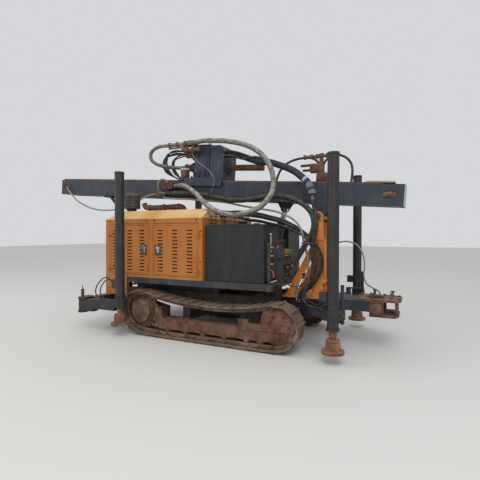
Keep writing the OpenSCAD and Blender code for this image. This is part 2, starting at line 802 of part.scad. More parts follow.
main_rails();
cross_beams();
nose_beam();
deck_frame();
track_frames();
rollers();
drive_sprockets();
track_near();
track_far();
hood_frame();
hood_roof();
power_pack();
oil_tank();
fuel_tank();
valve_bank();
mast_support();
rod_table();
air_cleaner();
mast_rest();
hose_rings();
door_near_rear();
door_near_front();
door_far_rear();
door_far_front();
mast_beam();
mast_rails();
feed_sprockets();
mast_brackets();
head_carriage();
head_gearbox();
head_motors();
drill_spindle();
raise_barrel();
raise_rod();
outrigger_rear_near();
outrigger_rear_far();
outrigger_front_near();
outrigger_front_far();
foot_rear_near();
foot_rear_far();
foot_front_near();
foot_front_far();
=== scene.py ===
"""Dresses a crawler-mounted rotary drilling rig: finishes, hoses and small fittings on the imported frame.

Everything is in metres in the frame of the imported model: X runs to the drilling end, Y to the far
side and Z up from the ground. A name that ends in u, v or w is along, across or up from the mast's own
axis instead. A sub-assembly is a class with its sizes as fields, and a finish is a frozen dataclass that
builds one material.
"""
from __future__ import annotations

import json
import logging
import math
from dataclasses import dataclass, field
from enum import Enum

import bpy
import numpy as np
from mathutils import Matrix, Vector

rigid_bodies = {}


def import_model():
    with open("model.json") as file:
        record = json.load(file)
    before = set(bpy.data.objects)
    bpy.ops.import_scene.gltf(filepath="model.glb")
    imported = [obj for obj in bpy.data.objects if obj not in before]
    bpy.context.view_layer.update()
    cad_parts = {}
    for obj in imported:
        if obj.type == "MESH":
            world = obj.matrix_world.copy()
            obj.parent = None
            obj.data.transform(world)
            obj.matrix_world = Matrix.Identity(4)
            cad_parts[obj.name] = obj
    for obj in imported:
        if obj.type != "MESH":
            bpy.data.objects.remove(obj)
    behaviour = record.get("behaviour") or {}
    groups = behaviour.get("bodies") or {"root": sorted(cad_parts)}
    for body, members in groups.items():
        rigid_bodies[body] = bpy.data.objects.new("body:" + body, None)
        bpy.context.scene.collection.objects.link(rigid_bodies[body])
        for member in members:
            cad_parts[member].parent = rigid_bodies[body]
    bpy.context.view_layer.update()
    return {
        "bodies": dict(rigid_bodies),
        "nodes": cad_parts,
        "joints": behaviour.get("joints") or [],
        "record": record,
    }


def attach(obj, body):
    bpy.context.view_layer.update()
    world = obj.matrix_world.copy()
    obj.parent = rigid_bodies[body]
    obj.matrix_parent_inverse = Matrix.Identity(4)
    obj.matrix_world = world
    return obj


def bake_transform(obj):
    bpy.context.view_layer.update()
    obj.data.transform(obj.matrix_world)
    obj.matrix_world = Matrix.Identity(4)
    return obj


LOG = logging.getLogger("rig")
Point = tuple[float, float, float]
Surface = tuple[np.ndarray, list[list[int]]]
Tree = bpy.types.NodeTree
Socket = bpy.types.NodeSocket


class Side(Enum):
    """The two sides of the machine, by the sign of Y."""

    NEAR = -1
    FAR = 1


class Body(Enum):
    """The moving bodies that scene pieces ride on."""

    RIG = "rig"
    MAST = "mast"
    HEAD = "head"
    REAR_ARM_NEAR = "arm_rear_near"
    REAR_ARM_FAR = "arm_rear_far"
    FRONT_ARM_NEAR = "arm_front_near"
    FRONT_ARM_FAR = "arm_front_far"
    REAR_DOOR_NEAR = "door_near_rear"
    FRONT_DOOR_NEAR = "door_near_front"
    REAR_DOOR_FAR = "door_far_rear"
    FRONT_DOOR_FAR = "door_far_front"


# Slope of the mast as it lies, rear end up, and the height of its axis over the middle
MAST_SLOPE = math.radians(4.04)
MAST_Z = 2.0705

# Colours and shader nodes


def linear(hex_colour: str) -> tuple[float, float, float, float]:
    """Turn an sRGB hex colour into the linear values that a shader takes.

    Args:
        hex_colour: Six hex digits after a hash.

    Returns:
        Linear red, green, blue and an alpha of one.
    """
    raw = [int(hex_colour[i : i + 2], 16) / 255 for i in (1, 3, 5)]
    flat = [c / 12.92 if c <= 0.04045 else ((c + 0.055) / 1.055) ** 2.4 for c in raw]
    return (flat[0], flat[1], flat[2], 1.0)


def add_node(
    tree: Tree,
    kind: str,
    inputs: dict[str | int, object] | None = None,
    output: str | int = 0,
    **settings: object,
) -> Socket:
    """Add a shader node, set its properties, and set or link its inputs.

    Args:
        tree: The material's node tree.
        kind: The node's type name without its ShaderNode prefix.
        inputs: Input name or number to a value, or to an output socket that feeds it.
        output: Which of its outputs to give back.
        **settings: Properties of the node itself.

    Returns:
        The asked output of the new node.
    """
    node = tree.nodes.new("ShaderNode" + kind)
    for name, value in settings.items():
        setattr(node, name, value)
    for key, value in (inputs or {}).items():
        if isinstance(value, bpy.types.NodeSocket):
            tree.links.new(value, node.inputs[key])
        else:
            node.inputs[key].default_value = value
    return node.outputs[output]


def clouds(
    tree: Tree,
    place: Socket,
    size: float,
    low: float,
    high: float,
    top: float = 1.0,
    bottom: float = 0.0,
    detail: float = 5.0,
) -> Socket:
    """Make patches of noise: bottom where the noise is under low, top over high, smooth between.

    Args:
        tree: The material's node tree.
        place: Coordinates in metres.
        size: Width of a patch in metres.
        low: Noise value under which there is none of it.
        high: Noise value over which there is all of it.
        top: Value inside a patch.
        bottom: Value outside the patches.
        detail: Finer octaves of the noise.

    Returns:
        The share of the patches at each point.
    """
    noise = {"Vector": place, "Scale": 1.0 / size, "Detail": detail, "Roughness": 0.6}
    wave = add_node(tree, "TexNoise", noise)
    span = {"Value": wave, "From Min": low, "From Max": high, "To Min": bottom, "To Max": top}
    return add_node(tree, "MapRange", span, interpolation_type="SMOOTHSTEP")


def facing_up(tree: Tree, low: float, high: float, top: float) -> Socket:
    """Give top on what faces the sky and 0 on walls and undersides, from the upward part of the normal."""
    normal = add_node(tree, "TexCoord", output="Normal")
    height = add_node(tree, "SeparateXYZ", {0: normal}, output=2)
    span = {"Value": height, "From Min": low, "From Max": high, "To Min": 0.0, "To Max": top}
    return add_node(tree, "MapRange", span, interpolation_type="SMOOTHSTEP")


def worn_edges(tree: Tree, reach: float) -> Socket:
    """Give 1 on edges, from how far a normal rounded within reach metres leans off the true one.

    The lean is the cosine between the two: 0.98 is still flat, 0.88 is a full edge.
    """
    rounded = add_node(tree, "Bevel", {"Radius": reach}, samples=4)
    true = add_node(tree, "NewGeometry", output="Normal")
    lean = add_node(tree, "VectorMath", {0: rounded, 1: true}, "Value", operation="DOT_PRODUCT")
    span = {"Value": lean, "From Min": 0.98, "From Max": 0.88, "To Min": 0.0, "To Max": 1.0}
    return add_node(tree, "MapRange", span, interpolation_type="SMOOTHSTEP")


def inside(tree: Tree, place: Socket, low: Point, high: Point) -> Socket:
    """Give 1 inside a box: the distance from its middle in half sizes is under 1 on every axis.

    Args:
        tree: The material's node tree.
        place: Coordinates in metres.
        low: The box's lowest corner.
        high: The box's highest corner.

    Returns:
        1 inside and 0 outside.
    """
    middle = tuple((a + b) / 2 for a, b in zip(low, high))
    half = tuple((b - a) / 2 for a, b in zip(low, high))
    moved = add_node(tree, "VectorMath", {0: place, 1: middle}, operation="SUBTRACT")
    scaled = add_node(tree, "VectorMath", {0: moved, 1: half}, operation="DIVIDE")
    size = add_node(tree, "VectorMath", {0: scaled}, operation="ABSOLUTE")
    part = [add_node(tree, "SeparateXYZ", {0: size}, output=i) for i in range(3)]
    wide = add_node(tree, "Math", {0: part[0], 1: part[1]}, operation="MAXIMUM")
    most = add_node(tree, "Math", {0: wide, 1: part[2]}, operation="MAXIMUM")
    return add_node(tree, "Math", {0: most, 1: 1.0}, operation="LESS_THAN")


def coat(tree: Tree, under: object, colour: str, *shares: Socket) -> Socket:
    """Lay a colour over what is under it, as much as the product of the shares says.

    Args:
        tree: The material's node tree.
        under: Linear colour, or the socket of one.
        colour: The hex colour on top.
        *shares: Values from 0 to 1 that are multiplied.

    Returns:
        The colour's socket.
    """
    amount = shares[0]
    for share in shares[1:]:
        amount = add_node(tree, "Math", {0: amount, 1: share}, operation="MULTIPLY")
    # of a Mix node in colour, socket 0 is the share, 6 and 7 are the colours and output 2 is the mix
    return add_node(tree, "Mix", {0: amount, 6: under, 7: linear(colour)}, 2, data_type="RGBA")


# Finishes


@dataclass(frozen=True)
class Mark:
    """A box of the surface that has another colour, such as a latch on a door."""

    low: Point
    high: Point
    colour: str


@dataclass(frozen=True)
class Finish:
    """What every finish has: a name, and an empty material to start from."""

    name: str

    def start(self) -> tuple[bpy.types.Material, Tree, bpy.types.Node, Socket]:
        """Make the material and give it with its tree, its shader and the object's coordinates."""
        mat = bpy.data.materials.new(self.name)
        mat.use_nodes = True
        tree = mat.node_tree
        return mat, tree, tree.nodes["Principled BSDF"], add_node(tree, "TexCoord", output="Object")

    def grain(self, tree: Tree, place: Socket, size: float, strength: float, depth: float) -> Socket:
        """Roughen the normal with noise of one size and depth, both in metres."""
        height = clouds(tree, place, size, 0.2, 0.8)
        return add_node(tree, "Bump", {"Strength": strength, "Distance": depth, "Height": height})


@dataclass(frozen=True)
class WeatheredPaint(Finish):
    """Sprayed alkyd machine enamel, sun-bleached and dusty: dull, chalky, chipped to rust at its edges."""

    base: str
    faded: str
    dust: str = "#8C7C66"
    rust: str = "#5A3424"
    fade_share: float = 0.5
    dust_share: float = 0.35
    rust_share: float = 0.12
    roughness: float = 0.5
    marks: tuple[Mark, ...] = ()

    def build(self) -> bpy.types.Material:
        """Build the material from fade, run-off streaks, dust, rust spots, worn edges and marks.

        Returns:
            The finished material.
        """
        mat, tree, shader, place = self.start()
        # coordinates squeezed so that a patch becomes a run-off streak 55 mm wide and 1.1 m long
        long = add_node(tree, "Mapping", {"Vector": place, "Scale": (18.0, 18.0, 0.9)})
        fade = clouds(tree, place, 0.5, 0.35, 0.68, self.fade_share)
        colour = coat(tree, linear(self.base), self.faded, fade)
        colour = coat(tree, colour, self.dust, clouds(tree, long, 1.0, 0.5, 0.72, self.dust_share * 0.7))
        colour = coat(tree, colour, self.dust, clouds(tree, place, 0.16, 0.42, 0.78, self.dust_share * 0.8))
        colour = coat(tree, colour, self.dust, facing_up(tree, 0.3, 0.95, self.dust_share))
        spot_top = min(1.0, self.rust_share * 6)
        spots = clouds(tree, place, 0.03, 0.66 - self.rust_share * 0.3, 0.74, spot_top, detail=8.0)
        colour = coat(tree, colour, self.rust, spots, clouds(tree, place, 0.22, 0.5, 0.7))
        colour = coat(tree, colour, self.rust, worn_edges(tree, 0.006), clouds(tree, place, 0.05, 0.4, 0.6))
        for mark in self.marks:
            colour = coat(tree, colour, mark.colour, inside(tree, place, mark.low, mark.high))
        tree.links.new(colour, shader.inputs["Base Color"])
        rough = clouds(tree, place, 0.08, 0.2, 0.8, self.roughness + 0.2, self.roughness)
        tree.links.new(rough, shader.inputs["Roughness"])
        tree.links.new(self.grain(tree, place, 0.012, 0.25, 0.002), shader.inputs["Normal"])
        return mat


@dataclass(frozen=True)
class RustedSteel(Finish):
    """Bare hot-rolled or cast steel gone to brown rust, with bright rubbed edges where it is worked."""

    deep: str
    light: str
    dust: str = "#8A7C6C"
    dust_share: float = 0.4
    rubbed: str = "#8E8680"
    rubbed_share: float = 0.35

    def build(self) -> bpy.types.Material:
        """Build the material from two rusts, dust on top and in clouds, and rubbed edges.

        Returns:
            The finished material.
        """
        mat, tree, shader, place = self.start()
        # rust in clouds of 90 mm over a grain of 15 mm, dust in clouds of 0.2 m
        colour = coat(tree, linear(self.deep), self.light, clouds(tree, place, 0.09, 0.38, 0.62, detail=6.0))
        colour = coat(tree, colour, self.deep, clouds(tree, place, 0.015, 0.5, 0.66, 0.6))
        colour = coat(tree, colour, self.dust, clouds(tree, place, 0.2, 0.4, 0.7, self.dust_share))
        colour = coat(tree, colour, self.dust, facing_up(tree, 0.2, 0.9, self.dust_share * 0.8))
        rubbed = clouds(tree, place, 0.12, 0.35, 0.6, self.rubbed_share)
        colour = coat(tree, colour, self.rubbed, worn_edges(tree, 0.005), rubbed)
        tree.links.new(colour, shader.inputs["Base Color"])
        shader.inputs["Roughness"].default_value = 0.82
        tree.links.new(self.grain(tree, place, 0.008, 0.5, 0.003), shader.inputs["Normal"])
        return mat


@dataclass(frozen=True)
class DulledMetal(Finish):
    """Bright metal such as a chromed rod, turned brass or a galvanised clip, dulled by dust."""

    colour: str
    dust: str = "#7D7263"
    metallic: float = 1.0
    roughness: float = 0.3

    def build(self) -> bpy.types.Material:
        """Build a metal whose colour and roughness wander where dust sits, in patches of 60 mm.

        Returns:
            The finished material.
        """
        mat, tree, shader, place = self.start()
        dusty = clouds(tree, place, 0.06, 0.45, 0.75, 0.5)
        tree.links.new(coat(tree, linear(self.colour), self.dust, dusty), shader.inputs["Base Color"])
        rough = clouds(tree, place, 0.06, 0.45, 0.75, self.roughness + 0.35, self.roughness)
        tree.links.new(rough, shader.inputs["Roughness"])
        shader.inputs["Metallic"].default_value = self.metallic
        return mat


@dataclass(frozen=True)
class HoseRubber(Finish):
    """Extruded rubber hose with a cloth-wrapped cover, with a painted highlight on its upper side, specks of
    dust, and fine wrap marks round it.
    """

    base: str
    dust: str
    # dust is the colour of the painted highlight on the upper side and of the dust specks, and dust_share
    # sets how strong both are
    wrap_pitch: float = 0.012
    wrap_depth: float = 0.0015
    dust_share: float = 0.6

    def build(self) -> bpy.types.Material:
        """Build the rubber from the hose's own UV map, whose U is metres along the hose.

        Returns:
            The finished material.
        """
        mat, tree, shader, place = self.start()
        # painted highlight: the dust colour laid over the upper side in blotches of 70 mm, gone where normals
        # lean down past -0.4; then real dust in specks of 30 mm
        patch = clouds(tree, place, 0.07, 0.35, 0.65)
        colour = coat(tree, linear(self.base), self.dust, facing_up(tree, -0.4, 0.9, self.dust_share), patch)
        colour = coat(tree, colour, self.dust, clouds(tree, place, 0.03, 0.45, 0.7, self.dust_share * 0.5))
        tree.links.new(colour, shader.inputs["Base Color"])
        shader.inputs["Roughness"].default_value = 0.72
        metres = add_node(tree, "UVMap", uv_map="along")
        turns = {"Vector": metres, "Scale": 1.0 / self.wrap_pitch / math.tau, "Distortion": 0.4}
        wrap = add_node(tree, "TexWave", turns, "Fac", bands_direction="DIAGONAL")
        bump = add_node(tree, "Bump", {"Strength": 0.6, "Distance": self.wrap_depth, "Height": wrap})
        tree.links.new(bump, shader.inputs["Normal"])
        return mat


# Latches of the rear and front doors, from just over the door's skin outwards, and the near tank's gauge
LATCH_X = ((-0.535, -0.431), (-0.293, -0.189))
LATCH_Y = (0.8008, 0.815)
LATCH_Z = (1.12, 1.26)


def latch_mark(side: Side, x: tuple[float, float]) -> Mark:
    """Give the dark box of one latch on one side's door."""
    low, high = sorted(side.value * y for y in LATCH_Y)
    return Mark((x[0], low, LATCH_Z[0]), (x[1], high, LATCH_Z[1]), "#3B3A37")


LATCHES = tuple(latch_mark(side, x) for side in Side for x in LATCH_X)
GAUGE = Mark((1.3115, -0.56, 1.18), (1.34, -0.52, 1.40), "#B9B4A4")

# Base and faded colour, dust, rust, then the shares of fade, dust and rust, and the roughness
PAINTS: dict[str, Finish] = {
    # the hood's walls and doors: chalky orange, browned by dust, with dark latch plates
    "hood": WeatheredPaint(
        "hood_enamel", "#A8611A", "#B2722D", "#A07A4C", "#6A3018", 0.7, 0.25, marks=LATCHES
    ),
    # the roof, which the sun has bleached the most: pale, dull orange
    "roof": WeatheredPaint("roof_enamel", "#D2984F", "#EAC595", "#C8A478", "#7A4424", 0.9, 0.3, 0.05),
    # the mast's support: the freshest orange of the machine
    "support": WeatheredPaint("support_enamel", "#DE842F", "#E0943F", "#A27744", "#5F3018", 0.5, 0.2),
    # the mast: dark blue-grey with a dusty top
    "mast": WeatheredPaint("mast_enamel", "#222935", "#303845", "#5C5A58", "#54382C", dust_share=0.3),
    # the rotary head: deeper blue, grey where dust lies
    "head": WeatheredPaint("head_enamel", "#272C3F", "#363B4D", "#5E5A5A", "#54362A", dust_share=0.35),
    # the side tanks: near black and even, with the near one's pale sight gauge
    "tank": WeatheredPaint(
        "tank_enamel", "#101417", "#191D20", "#403C36", "#4A3024", 0.5, 0.28, marks=(GAUGE,)
    ),
    # the leg tubes: black with a slight shine
    "leg": WeatheredPaint("leg_enamel", "#1F1F20", "#2F2E2D", "#5E574C", "#4E3226", 0.5, 0.28, 0.1, 0.4),
    # deck, valves, air cleaner and small fittings: charcoal, spotted with dust and rust
    "dark": WeatheredPaint("chassis_enamel", "#26282A", "#35363A", "#6A5E50", "#5A3626", 0.5, 0.5, 0.2),
    # the undercarriage: brown-black under a coat of dust
    "frame": WeatheredPaint("frame_enamel", "#2E2925", "#40352C", "#6E5C48", "#5C3624", 0.5, 0.6, 0.25),
    # the shut-off handle: faded signal red
    "red": WeatheredPaint("red_handle_enamel", "#A3241E", "#B4473C", "#7A5E50", "#5A3424", 0.4, 0.2),
    # end plate, filter cap, gauge glass and one turn of tape: dirty off-white
    "pale": WeatheredPaint("pale_edge_paint", "#A9ABA6", "#BDBEB8", "#8C8070", "#6A4A38", 0.5, 0.3),
    # cloth tape on the sleeve: blotchy grey
    "tape": WeatheredPaint("grey_tape", "#4A4E58", "#7C8088", "#8A8478", "#5A4A40", 0.8, 0.3),
    # the board on the mast: weathered, dusty wood brown
    "board": WeatheredPaint("weathered_board", "#A08A6C", "#B7A486", "#8C7C66", "#6A4A34", 0.7, 0.3),
}
# Deep and light rust, dust and its share, rubbed edge and its share; of a bright metal its own colour
METALS: dict[str, Finish] = {
    # bare plate and castings: red-brown rust in clouds
    "rust": RustedSteel("rusted_plate", "#4A2A1C", "#724832"),
    # chains and rollers: dusty brown, rubbed bright on the edges that touch the ground
    "track": RustedSteel("track_steel", "#4A372B", "#6C523F", "#8A7A68", 0.75, "#9A9088", 0.5),
    # the track's side beams: red-brown rust under grey dust
    "track_frame": RustedSteel("track_frame_steel", "#46291D", "#704836", "#8C7866", 0.35),
    # jack rods and feet: light, sandy rust
    "foot": RustedSteel("jack_steel", "#5E3A29", "#825A43", "#A88C6E", 0.45),
    # hard chrome of the rod and the door paddles: bright, with dull patches
    "chrome": DulledMetal("chromed_rod", "#A9ABAD"),
    # nipples and taps: dull yellow glint
    "brass": DulledMetal("turned_brass", "#B08D45", roughness=0.35),
    # bolts and hose fittings: dull grey glint
    "zinc": DulledMetal("zinc_clip", "#6F6C64", roughness=0.4),
}
# Rubber and the colour of its painted highlight and dust, then pitch and depth of the wrap in metres, and the
# share of highlight and dust
RUBBERS: dict[str, Finish] = {
    # the large air hose: grey, its upper side painted almost white as a highlight, with some dust
    "grey_hose": HoseRubber("dusty_air_hose", "#5D5953", "#AFA99E", dust_share=0.95),
    # hydraulic hoses: black, with a painted grey-brown highlight on top and some dust
    "black_hose": HoseRubber("black_hose", "#1D1C1B", "#6A6252", dust_share=0.7),
    # thin pilot lines: pale grey-brown
    "pale_hose": HoseRubber("pale_line", "#8A8478", "#A9A190", dust_share=0.6),
    # the bundle's spiral sleeve: blue-black, deeply grooved
    "sleeve": HoseRubber("spiral_sleeve", "#1E222C", "#4A4E58", 0.018, 0.006, 0.35),
}
FINISHES: dict[str, Finish] = {**PAINTS, **METALS, **RUBBERS}


class Palette:
    """Builds each finish once and hands it out by its key."""

    def __init__(self) -> None:
        """Start with nothing built."""
        self.made: dict[str, bpy.types.Material] = {}

    def get(self, key: str) -> bpy.types.Material:
        """Give the material of a key in FINISHES."""
        if key not in self.made:
            self.made[key] = FINISHES[key].build()
        return self.made[key]


# Surfaces


def grid_faces(rows: int, cols: int) -> np.ndarray:
    """Give the quads of a grid of points numbered row by row, whose last column joins the first.

    Args:
        rows: Number of rows of points.
        cols: Number of points in a row.

    Returns:
        An array of four point numbers for each quad.
    """
    r = np.arange(rows - 1)[:, None]
    c = np.arange(cols)[None, :]
    n = (c + 1) % cols
    quads = np.stack([r * cols + c, r * cols + n, (r + 1) * cols + n, (r + 1) * cols + c], -1)
    return quads.reshape(-1, 4)


def closed_grid(points: np.ndarray) -> Surface:
    """Close a grid of points, rows by columns round a ring, with a face at each end.

    Args:
        points: An array of rows, columns and three coordinates.

    Returns:
        The points as a list, and the faces.
    """
    rows, cols = points.shape[:2]
    last = (rows - 1) * cols
    faces = grid_faces(rows, cols).tolist()
    faces += [list(range(cols))[::-1], list(range(last, last + cols))]
    return points.reshape(-1, 3), faces


def smooth_line(points: list[Point] | np.ndarray, step: float) -> np.ndarray:
    """Run a centripetal Catmull-Rom curve through given points and space it evenly.

    Args:
        points: The route, in metres.
        step: Distance between the points of the result.

    Returns:
        Evenly spaced points, ends kept.
    """
    p = np.array(points, float)
    count = len(p)
    p = np.vstack([2 * p[0] - p[1], p, 2 * p[-1] - p[-2]])
    t = np.concatenate([[0.0], np.cumsum(np.sqrt(np.linalg.norm(np.diff(p, axis=0), axis=1)))])
    u = np.linspace(t[1], t[-2], 40 * count)
    i = np.clip(np.searchsorted(t, u, side="right") - 1, 1, len(t) - 3)

    def between(a: np.ndarray, b: np.ndarray, ta: np.ndarray, tb: np.ndarray) -> np.ndarray:
        """Give the point that lies between a and b where u lies between ta and tb."""
        return ((tb - u)[:, None] * a + (u - ta)[:, None] * b) / (tb - ta)[:, None]

    a1 = between(p[i - 1], p[i], t[i - 1], t[i])
    a2 = between(p[i], p[i + 1], t[i], t[i + 1])
    a3 = between(p[i + 1], p[i + 2], t[i + 1], t[i + 2])
    b1 = between(a1, a2, t[i - 1], t[i + 1])
    b2 = between(a2, a3, t[i], t[i + 2])
    line = between(b1, b2, t[i], t[i + 1])
    s = distance_along(line)
    even = np.linspace(0.0, s[-1], max(3, int(round(s[-1] / step)) + 1))
    return np.stack([np.interp(even, s, line[:, k]) for k in range(3)], -1)


def distance_along(line: np.ndarray) -> np.ndarray:
    """Give the distance along a line of each of its points."""
    return np.concatenate([[0.0], np.cumsum(np.linalg.norm(np.diff(line, axis=0), axis=1))])


def frames_along(line: np.ndarray) -> tuple[np.ndarray, np.ndarray, np.ndarray]:
    """Give the direction of a line at its points, and two unit vectors square to it.

    The first is square to the direction and to that one of five spare directions which the line runs
    along the least.

    Args:
        line: Points of the line.

    Returns:
        Three arrays of unit vectors, one of each for every point.
    """
    tangent = np.gradient(line, axis=0)
    tangent /= np.linalg.norm(tangent, axis=1)[:, None]
    spares = np.array([[1.0, 0.0, 0.0], [0.0, 1.0, 0.0], [0.0, 0.0, 1.0], [0.6, 0.8, 0.0], [0.6, -0.8, 0.0]])
    spare = spares[np.argmin(np.abs(tangent @ spares.T).max(axis=0))]
    first = np.cross(spare, tangent)
    first /= np.linalg.norm(first, axis=1)[:, None]
    return tangent, first, np.cross(tangent, first)


def mesh_object(
    name: str, surface: Surface, material: bpy.types.Material, smooth: bool = True
) -> bpy.types.Object:
    """Make an object at the origin from points and faces.

    Args:
        name: The piece's name.
        surface: Points in metres, and the point numbers of each face.
        material: The finish.
        smooth: Whether its faces are shaded smooth.

    Returns:
        The new object, linked to the scene.
    """
    mesh = bpy.data.meshes.new(name)
    mesh.from_pydata(surface[0].tolist(), [], surface[1])
    mesh.polygons.foreach_set("use_smooth", np.full(len(mesh.polygons), smooth))
    mesh.materials.append(material)
    mesh.update()
    obj = bpy.data.objects.new(name, mesh)
    bpy.context.scene.collection.objects.link(obj)
    return obj


def joined(surfaces: list[Surface]) -> Surface:
    """Put several surfaces into one list of points and faces."""
    starts = np.cumsum([0] + [len(s[0]) for s in surfaces])
    faces = [[i + int(start) for i in face] for s, start in zip(surfaces, starts) for face in s[1]]
    return np.concatenate([s[0] for s in surfaces]), faces


def moved(surface: Surface, offset: Point) -> Surface:
    """Give a surface moved by an offset."""
    return surface[0] + np.array(offset), surface[1]


def mirrored(surface: Surface) -> Surface:
    """Give a surface mirrored to the other side of the machine, its faces turned to point outwards again."""
    return surface[0] * [1.0, -1.0, 1.0], [face[::-1] for face in surface[1]]


def copies(surface: Surface, places: np.ndarray) -> Surface:
    """Give one surface repeated at many places."""
    count = len(surface[0])
    points = (places[:, None] + surface[0][None]).reshape(-1, 3)
    return points, [[i + k * count for i in face] for k in range(len(places)) for face in surface[1]]


def on_mast(surface: Surface) -> Surface:
    """Take a surface from the mast's own frame to the machine's: turned by its slope, lifted to its axis."""
    u, v, w = surface[0].T
    c, s = math.cos(MAST_SLOPE), math.sin(MAST_SLOPE)
    return np.stack([u * c + w * s, v, MAST_Z - u * s + w * c], -1), surface[1]


def tube(line: np.ndarray, radius: np.ndarray | float, sides: int) -> Surface:
    """Sweep a circle along a line: a point is line + radius * (cos a * first + sin a * second)."""
    _, first, second = frames_along(line)
    a = np.linspace(0, math.tau, sides, endpoint=False)[None, :, None]
    r = np.broadcast_to(np.asarray(radius, float), (len(line),))[:, None, None]
    return closed_grid(line[:, None] + r * (np.cos(a) * first[:, None] + np.sin(a) * second[:, None]))


def hose_object(
    name: str, line: np.ndarray, radius: float, sides: int, mat: bpy.types.Material
) -> bpy.types.Object:
    """Make a hose along a line, with a UV map named along whose U is metres along it.

    Args:
        name: The piece's name.
        line: Points of the centre line.
        radius: The hose's radius.
        sides: Points round it.
        mat: The finish.

    Returns:
        The hose, closed at both ends.
    """
    obj = mesh_object(name, tube(line, radius, sides), mat)
    rows, cols = np.divmod(grid_faces(len(line), sides), sides)
    turn = cols / sides
    turn[:, 1:3] = (cols[:, 0:1] + 1) / sides
    uv = np.stack([distance_along(line)[rows], turn * math.tau * radius], -1).reshape(-1, 2)
    flat = np.zeros((len(obj.data.loops), 2))
    flat[: len(uv)] = uv
    obj.data.uv_layers.new(name="along").data.foreach_set("uv", flat.ravel())
    return obj


def revolved(profile: list[tuple[float, float]], centre: Point, axis: Point, sides: int) -> Surface:
    """Turn a profile round an axis: a point is centre + h * axis + r * (cos a * u + sin a * v).

    Args:
        profile: Radius and height along the axis, from one end to the other.
        centre: Where height is zero.
        axis: Direction of the axis.
        sides: Points round the axis.

    Returns:
        Points, and faces with both ends closed.
    """
    w = np.array(axis, float)
    w /= np.linalg.norm(w)
    u = np.cross(w, [0.0, 0.0, 1.0] if abs(w[2]) < 0.9 else [1.0, 0.0, 0.0])
    u /= np.linalg.norm(u)
    a = np.linspace(0, math.tau, sides, endpoint=False)[:, None]
    ring = np.cos(a) * u + np.sin(a) * np.cross(w, u)
    r, h = np.array(profile, float).T
    return closed_grid(np.array(centre) + h[:, None, None] * w + r[:, None, None] * ring[None])


def rounded_slab(low: Point, high: Point, edge: float) -> Surface:
    """Make a slab with round edges all round: a round-cornered ring that is drawn in at its top and bottom.

    Args:
        low: Lowest corner.
        high: Highest corner.
        edge: Radius of its edges.

    Returns:
        Points and faces, thin side along Z.
    """
    lo, hi = np.array(low, float), np.array(high, float)
    turn = np.linspace(0, math.tau, 24, endpoint=False) + math.tau / 48
    out = np.stack([np.cos(turn), np.sin(turn)], -1)
    corner = np.where(out > 0, hi[:2] - edge, lo[:2] + edge)
    lift = np.linspace(-math.pi / 2, math.pi / 2, 8)
    spread = edge * np.cos(lift)
    z = np.where(lift < 0, lo[2] + edge, hi[2] - edge) + edge * np.sin(lift)
    flat = corner[None] + spread[:, None, None] * out[None]
    height = np.broadcast_to(z[:, None, None], (len(z), len(turn), 1))
    return closed_grid(np.concatenate([flat, height], -1))


# The camera and the studio


@dataclass
class Studio:
    """The camera at the viewing angle, soft light, and a pale floor."""

    eye: Point = (2.994, -4.982, 1.410)
    heading_deg: float = 25.353
    pitch_deg: float = -0.892
    lens_mm: float = 28.04
    floor_half: float = 40.0
    lamps_aim: Point = (0.5, 0.0, 1.2)

    def build(self) -> None:
        """Make the camera, the lamps, the world and the floor."""
        scene = bpy.context.scene
        camera = bpy.data.objects.new("camera", bpy.data.cameras.new("camera"))
        camera.location = self.eye
        camera.rotation_euler = (math.radians(90 + self.pitch_deg), 0.0, math.radians(self.heading_deg))
        camera.data.sensor_width = 36.0
        camera.data.lens = self.lens_mm
        camera.data.clip_end = 200.0
        scene.collection.objects.link(camera)
        scene.camera = camera
        scene.view_settings.view_transform = "Standard"
        self.lamp("key", (5.0, -8.0, 9.0), 6.0, 520.0)
        self.lamp("fill", (-8.0, -6.0, 6.0), 6.0, 220.0)
        self.world()
        self.floor()

    def lamp(self, name: str, place: Point, size: float, power: float) -> None:
        """Add one square soft lamp that looks at the machine's middle."""
        data = bpy.data.lights.new(name, "AREA")
        data.size = size
        data.energy = power
        obj = bpy.data.objects.new(name, data)
        obj.location = place
        obj.rotation_euler = (Vector(self.lamps_aim) - Vector(place)).to_track_quat("-Z", "Y").to_euler()
        bpy.context.scene.collection.objects.link(obj)

    def world(self) -> None:
        """Light the scene evenly with a pale sky."""
        world = bpy.data.worlds.new("studio")
        world.use_nodes = True
        sky = world.node_tree.nodes["Background"]
        sky.inputs["Color"].default_value = linear("#F1F3F6")
        sky.inputs["Strength"].default_value = 0.75
        bpy.context.scene.world = world

    def floor(self) -> None:
        """Lay the pale floor."""
        mat = bpy.data.materials.new("pale_floor")
        mat.use_nodes = True
        shader = mat.node_tree.nodes["Principled BSDF"]
        shader.inputs["Base Color"].default_value = linear("#D9D8D4")
        shader.inputs["Roughness"].default_value = 0.9
        h = self.floor_half
        corners = np.array([[-h, -h, 0.0], [h, -h, 0.0], [h, h, 0.0], [-h, h, 0.0]])
        mesh_object("floor", (corners, [[0, 1, 2, 3]]), mat, False)


# Hoses


@dataclass(frozen=True)
class HoseRun:
    """One hose: its route and diameter, the body or two it rides on, and two places it would bend between; a
    hose given these is left on no body, and only its end fittings ride.
    """

    name: str
    finish: str
    diameter: float
    points: tuple[Point, ...]
    bodies: tuple[Body, ...] = (Body.RIG,)
    bend: tuple[Point, Point] | None = None
    ends_crimped: bool = True


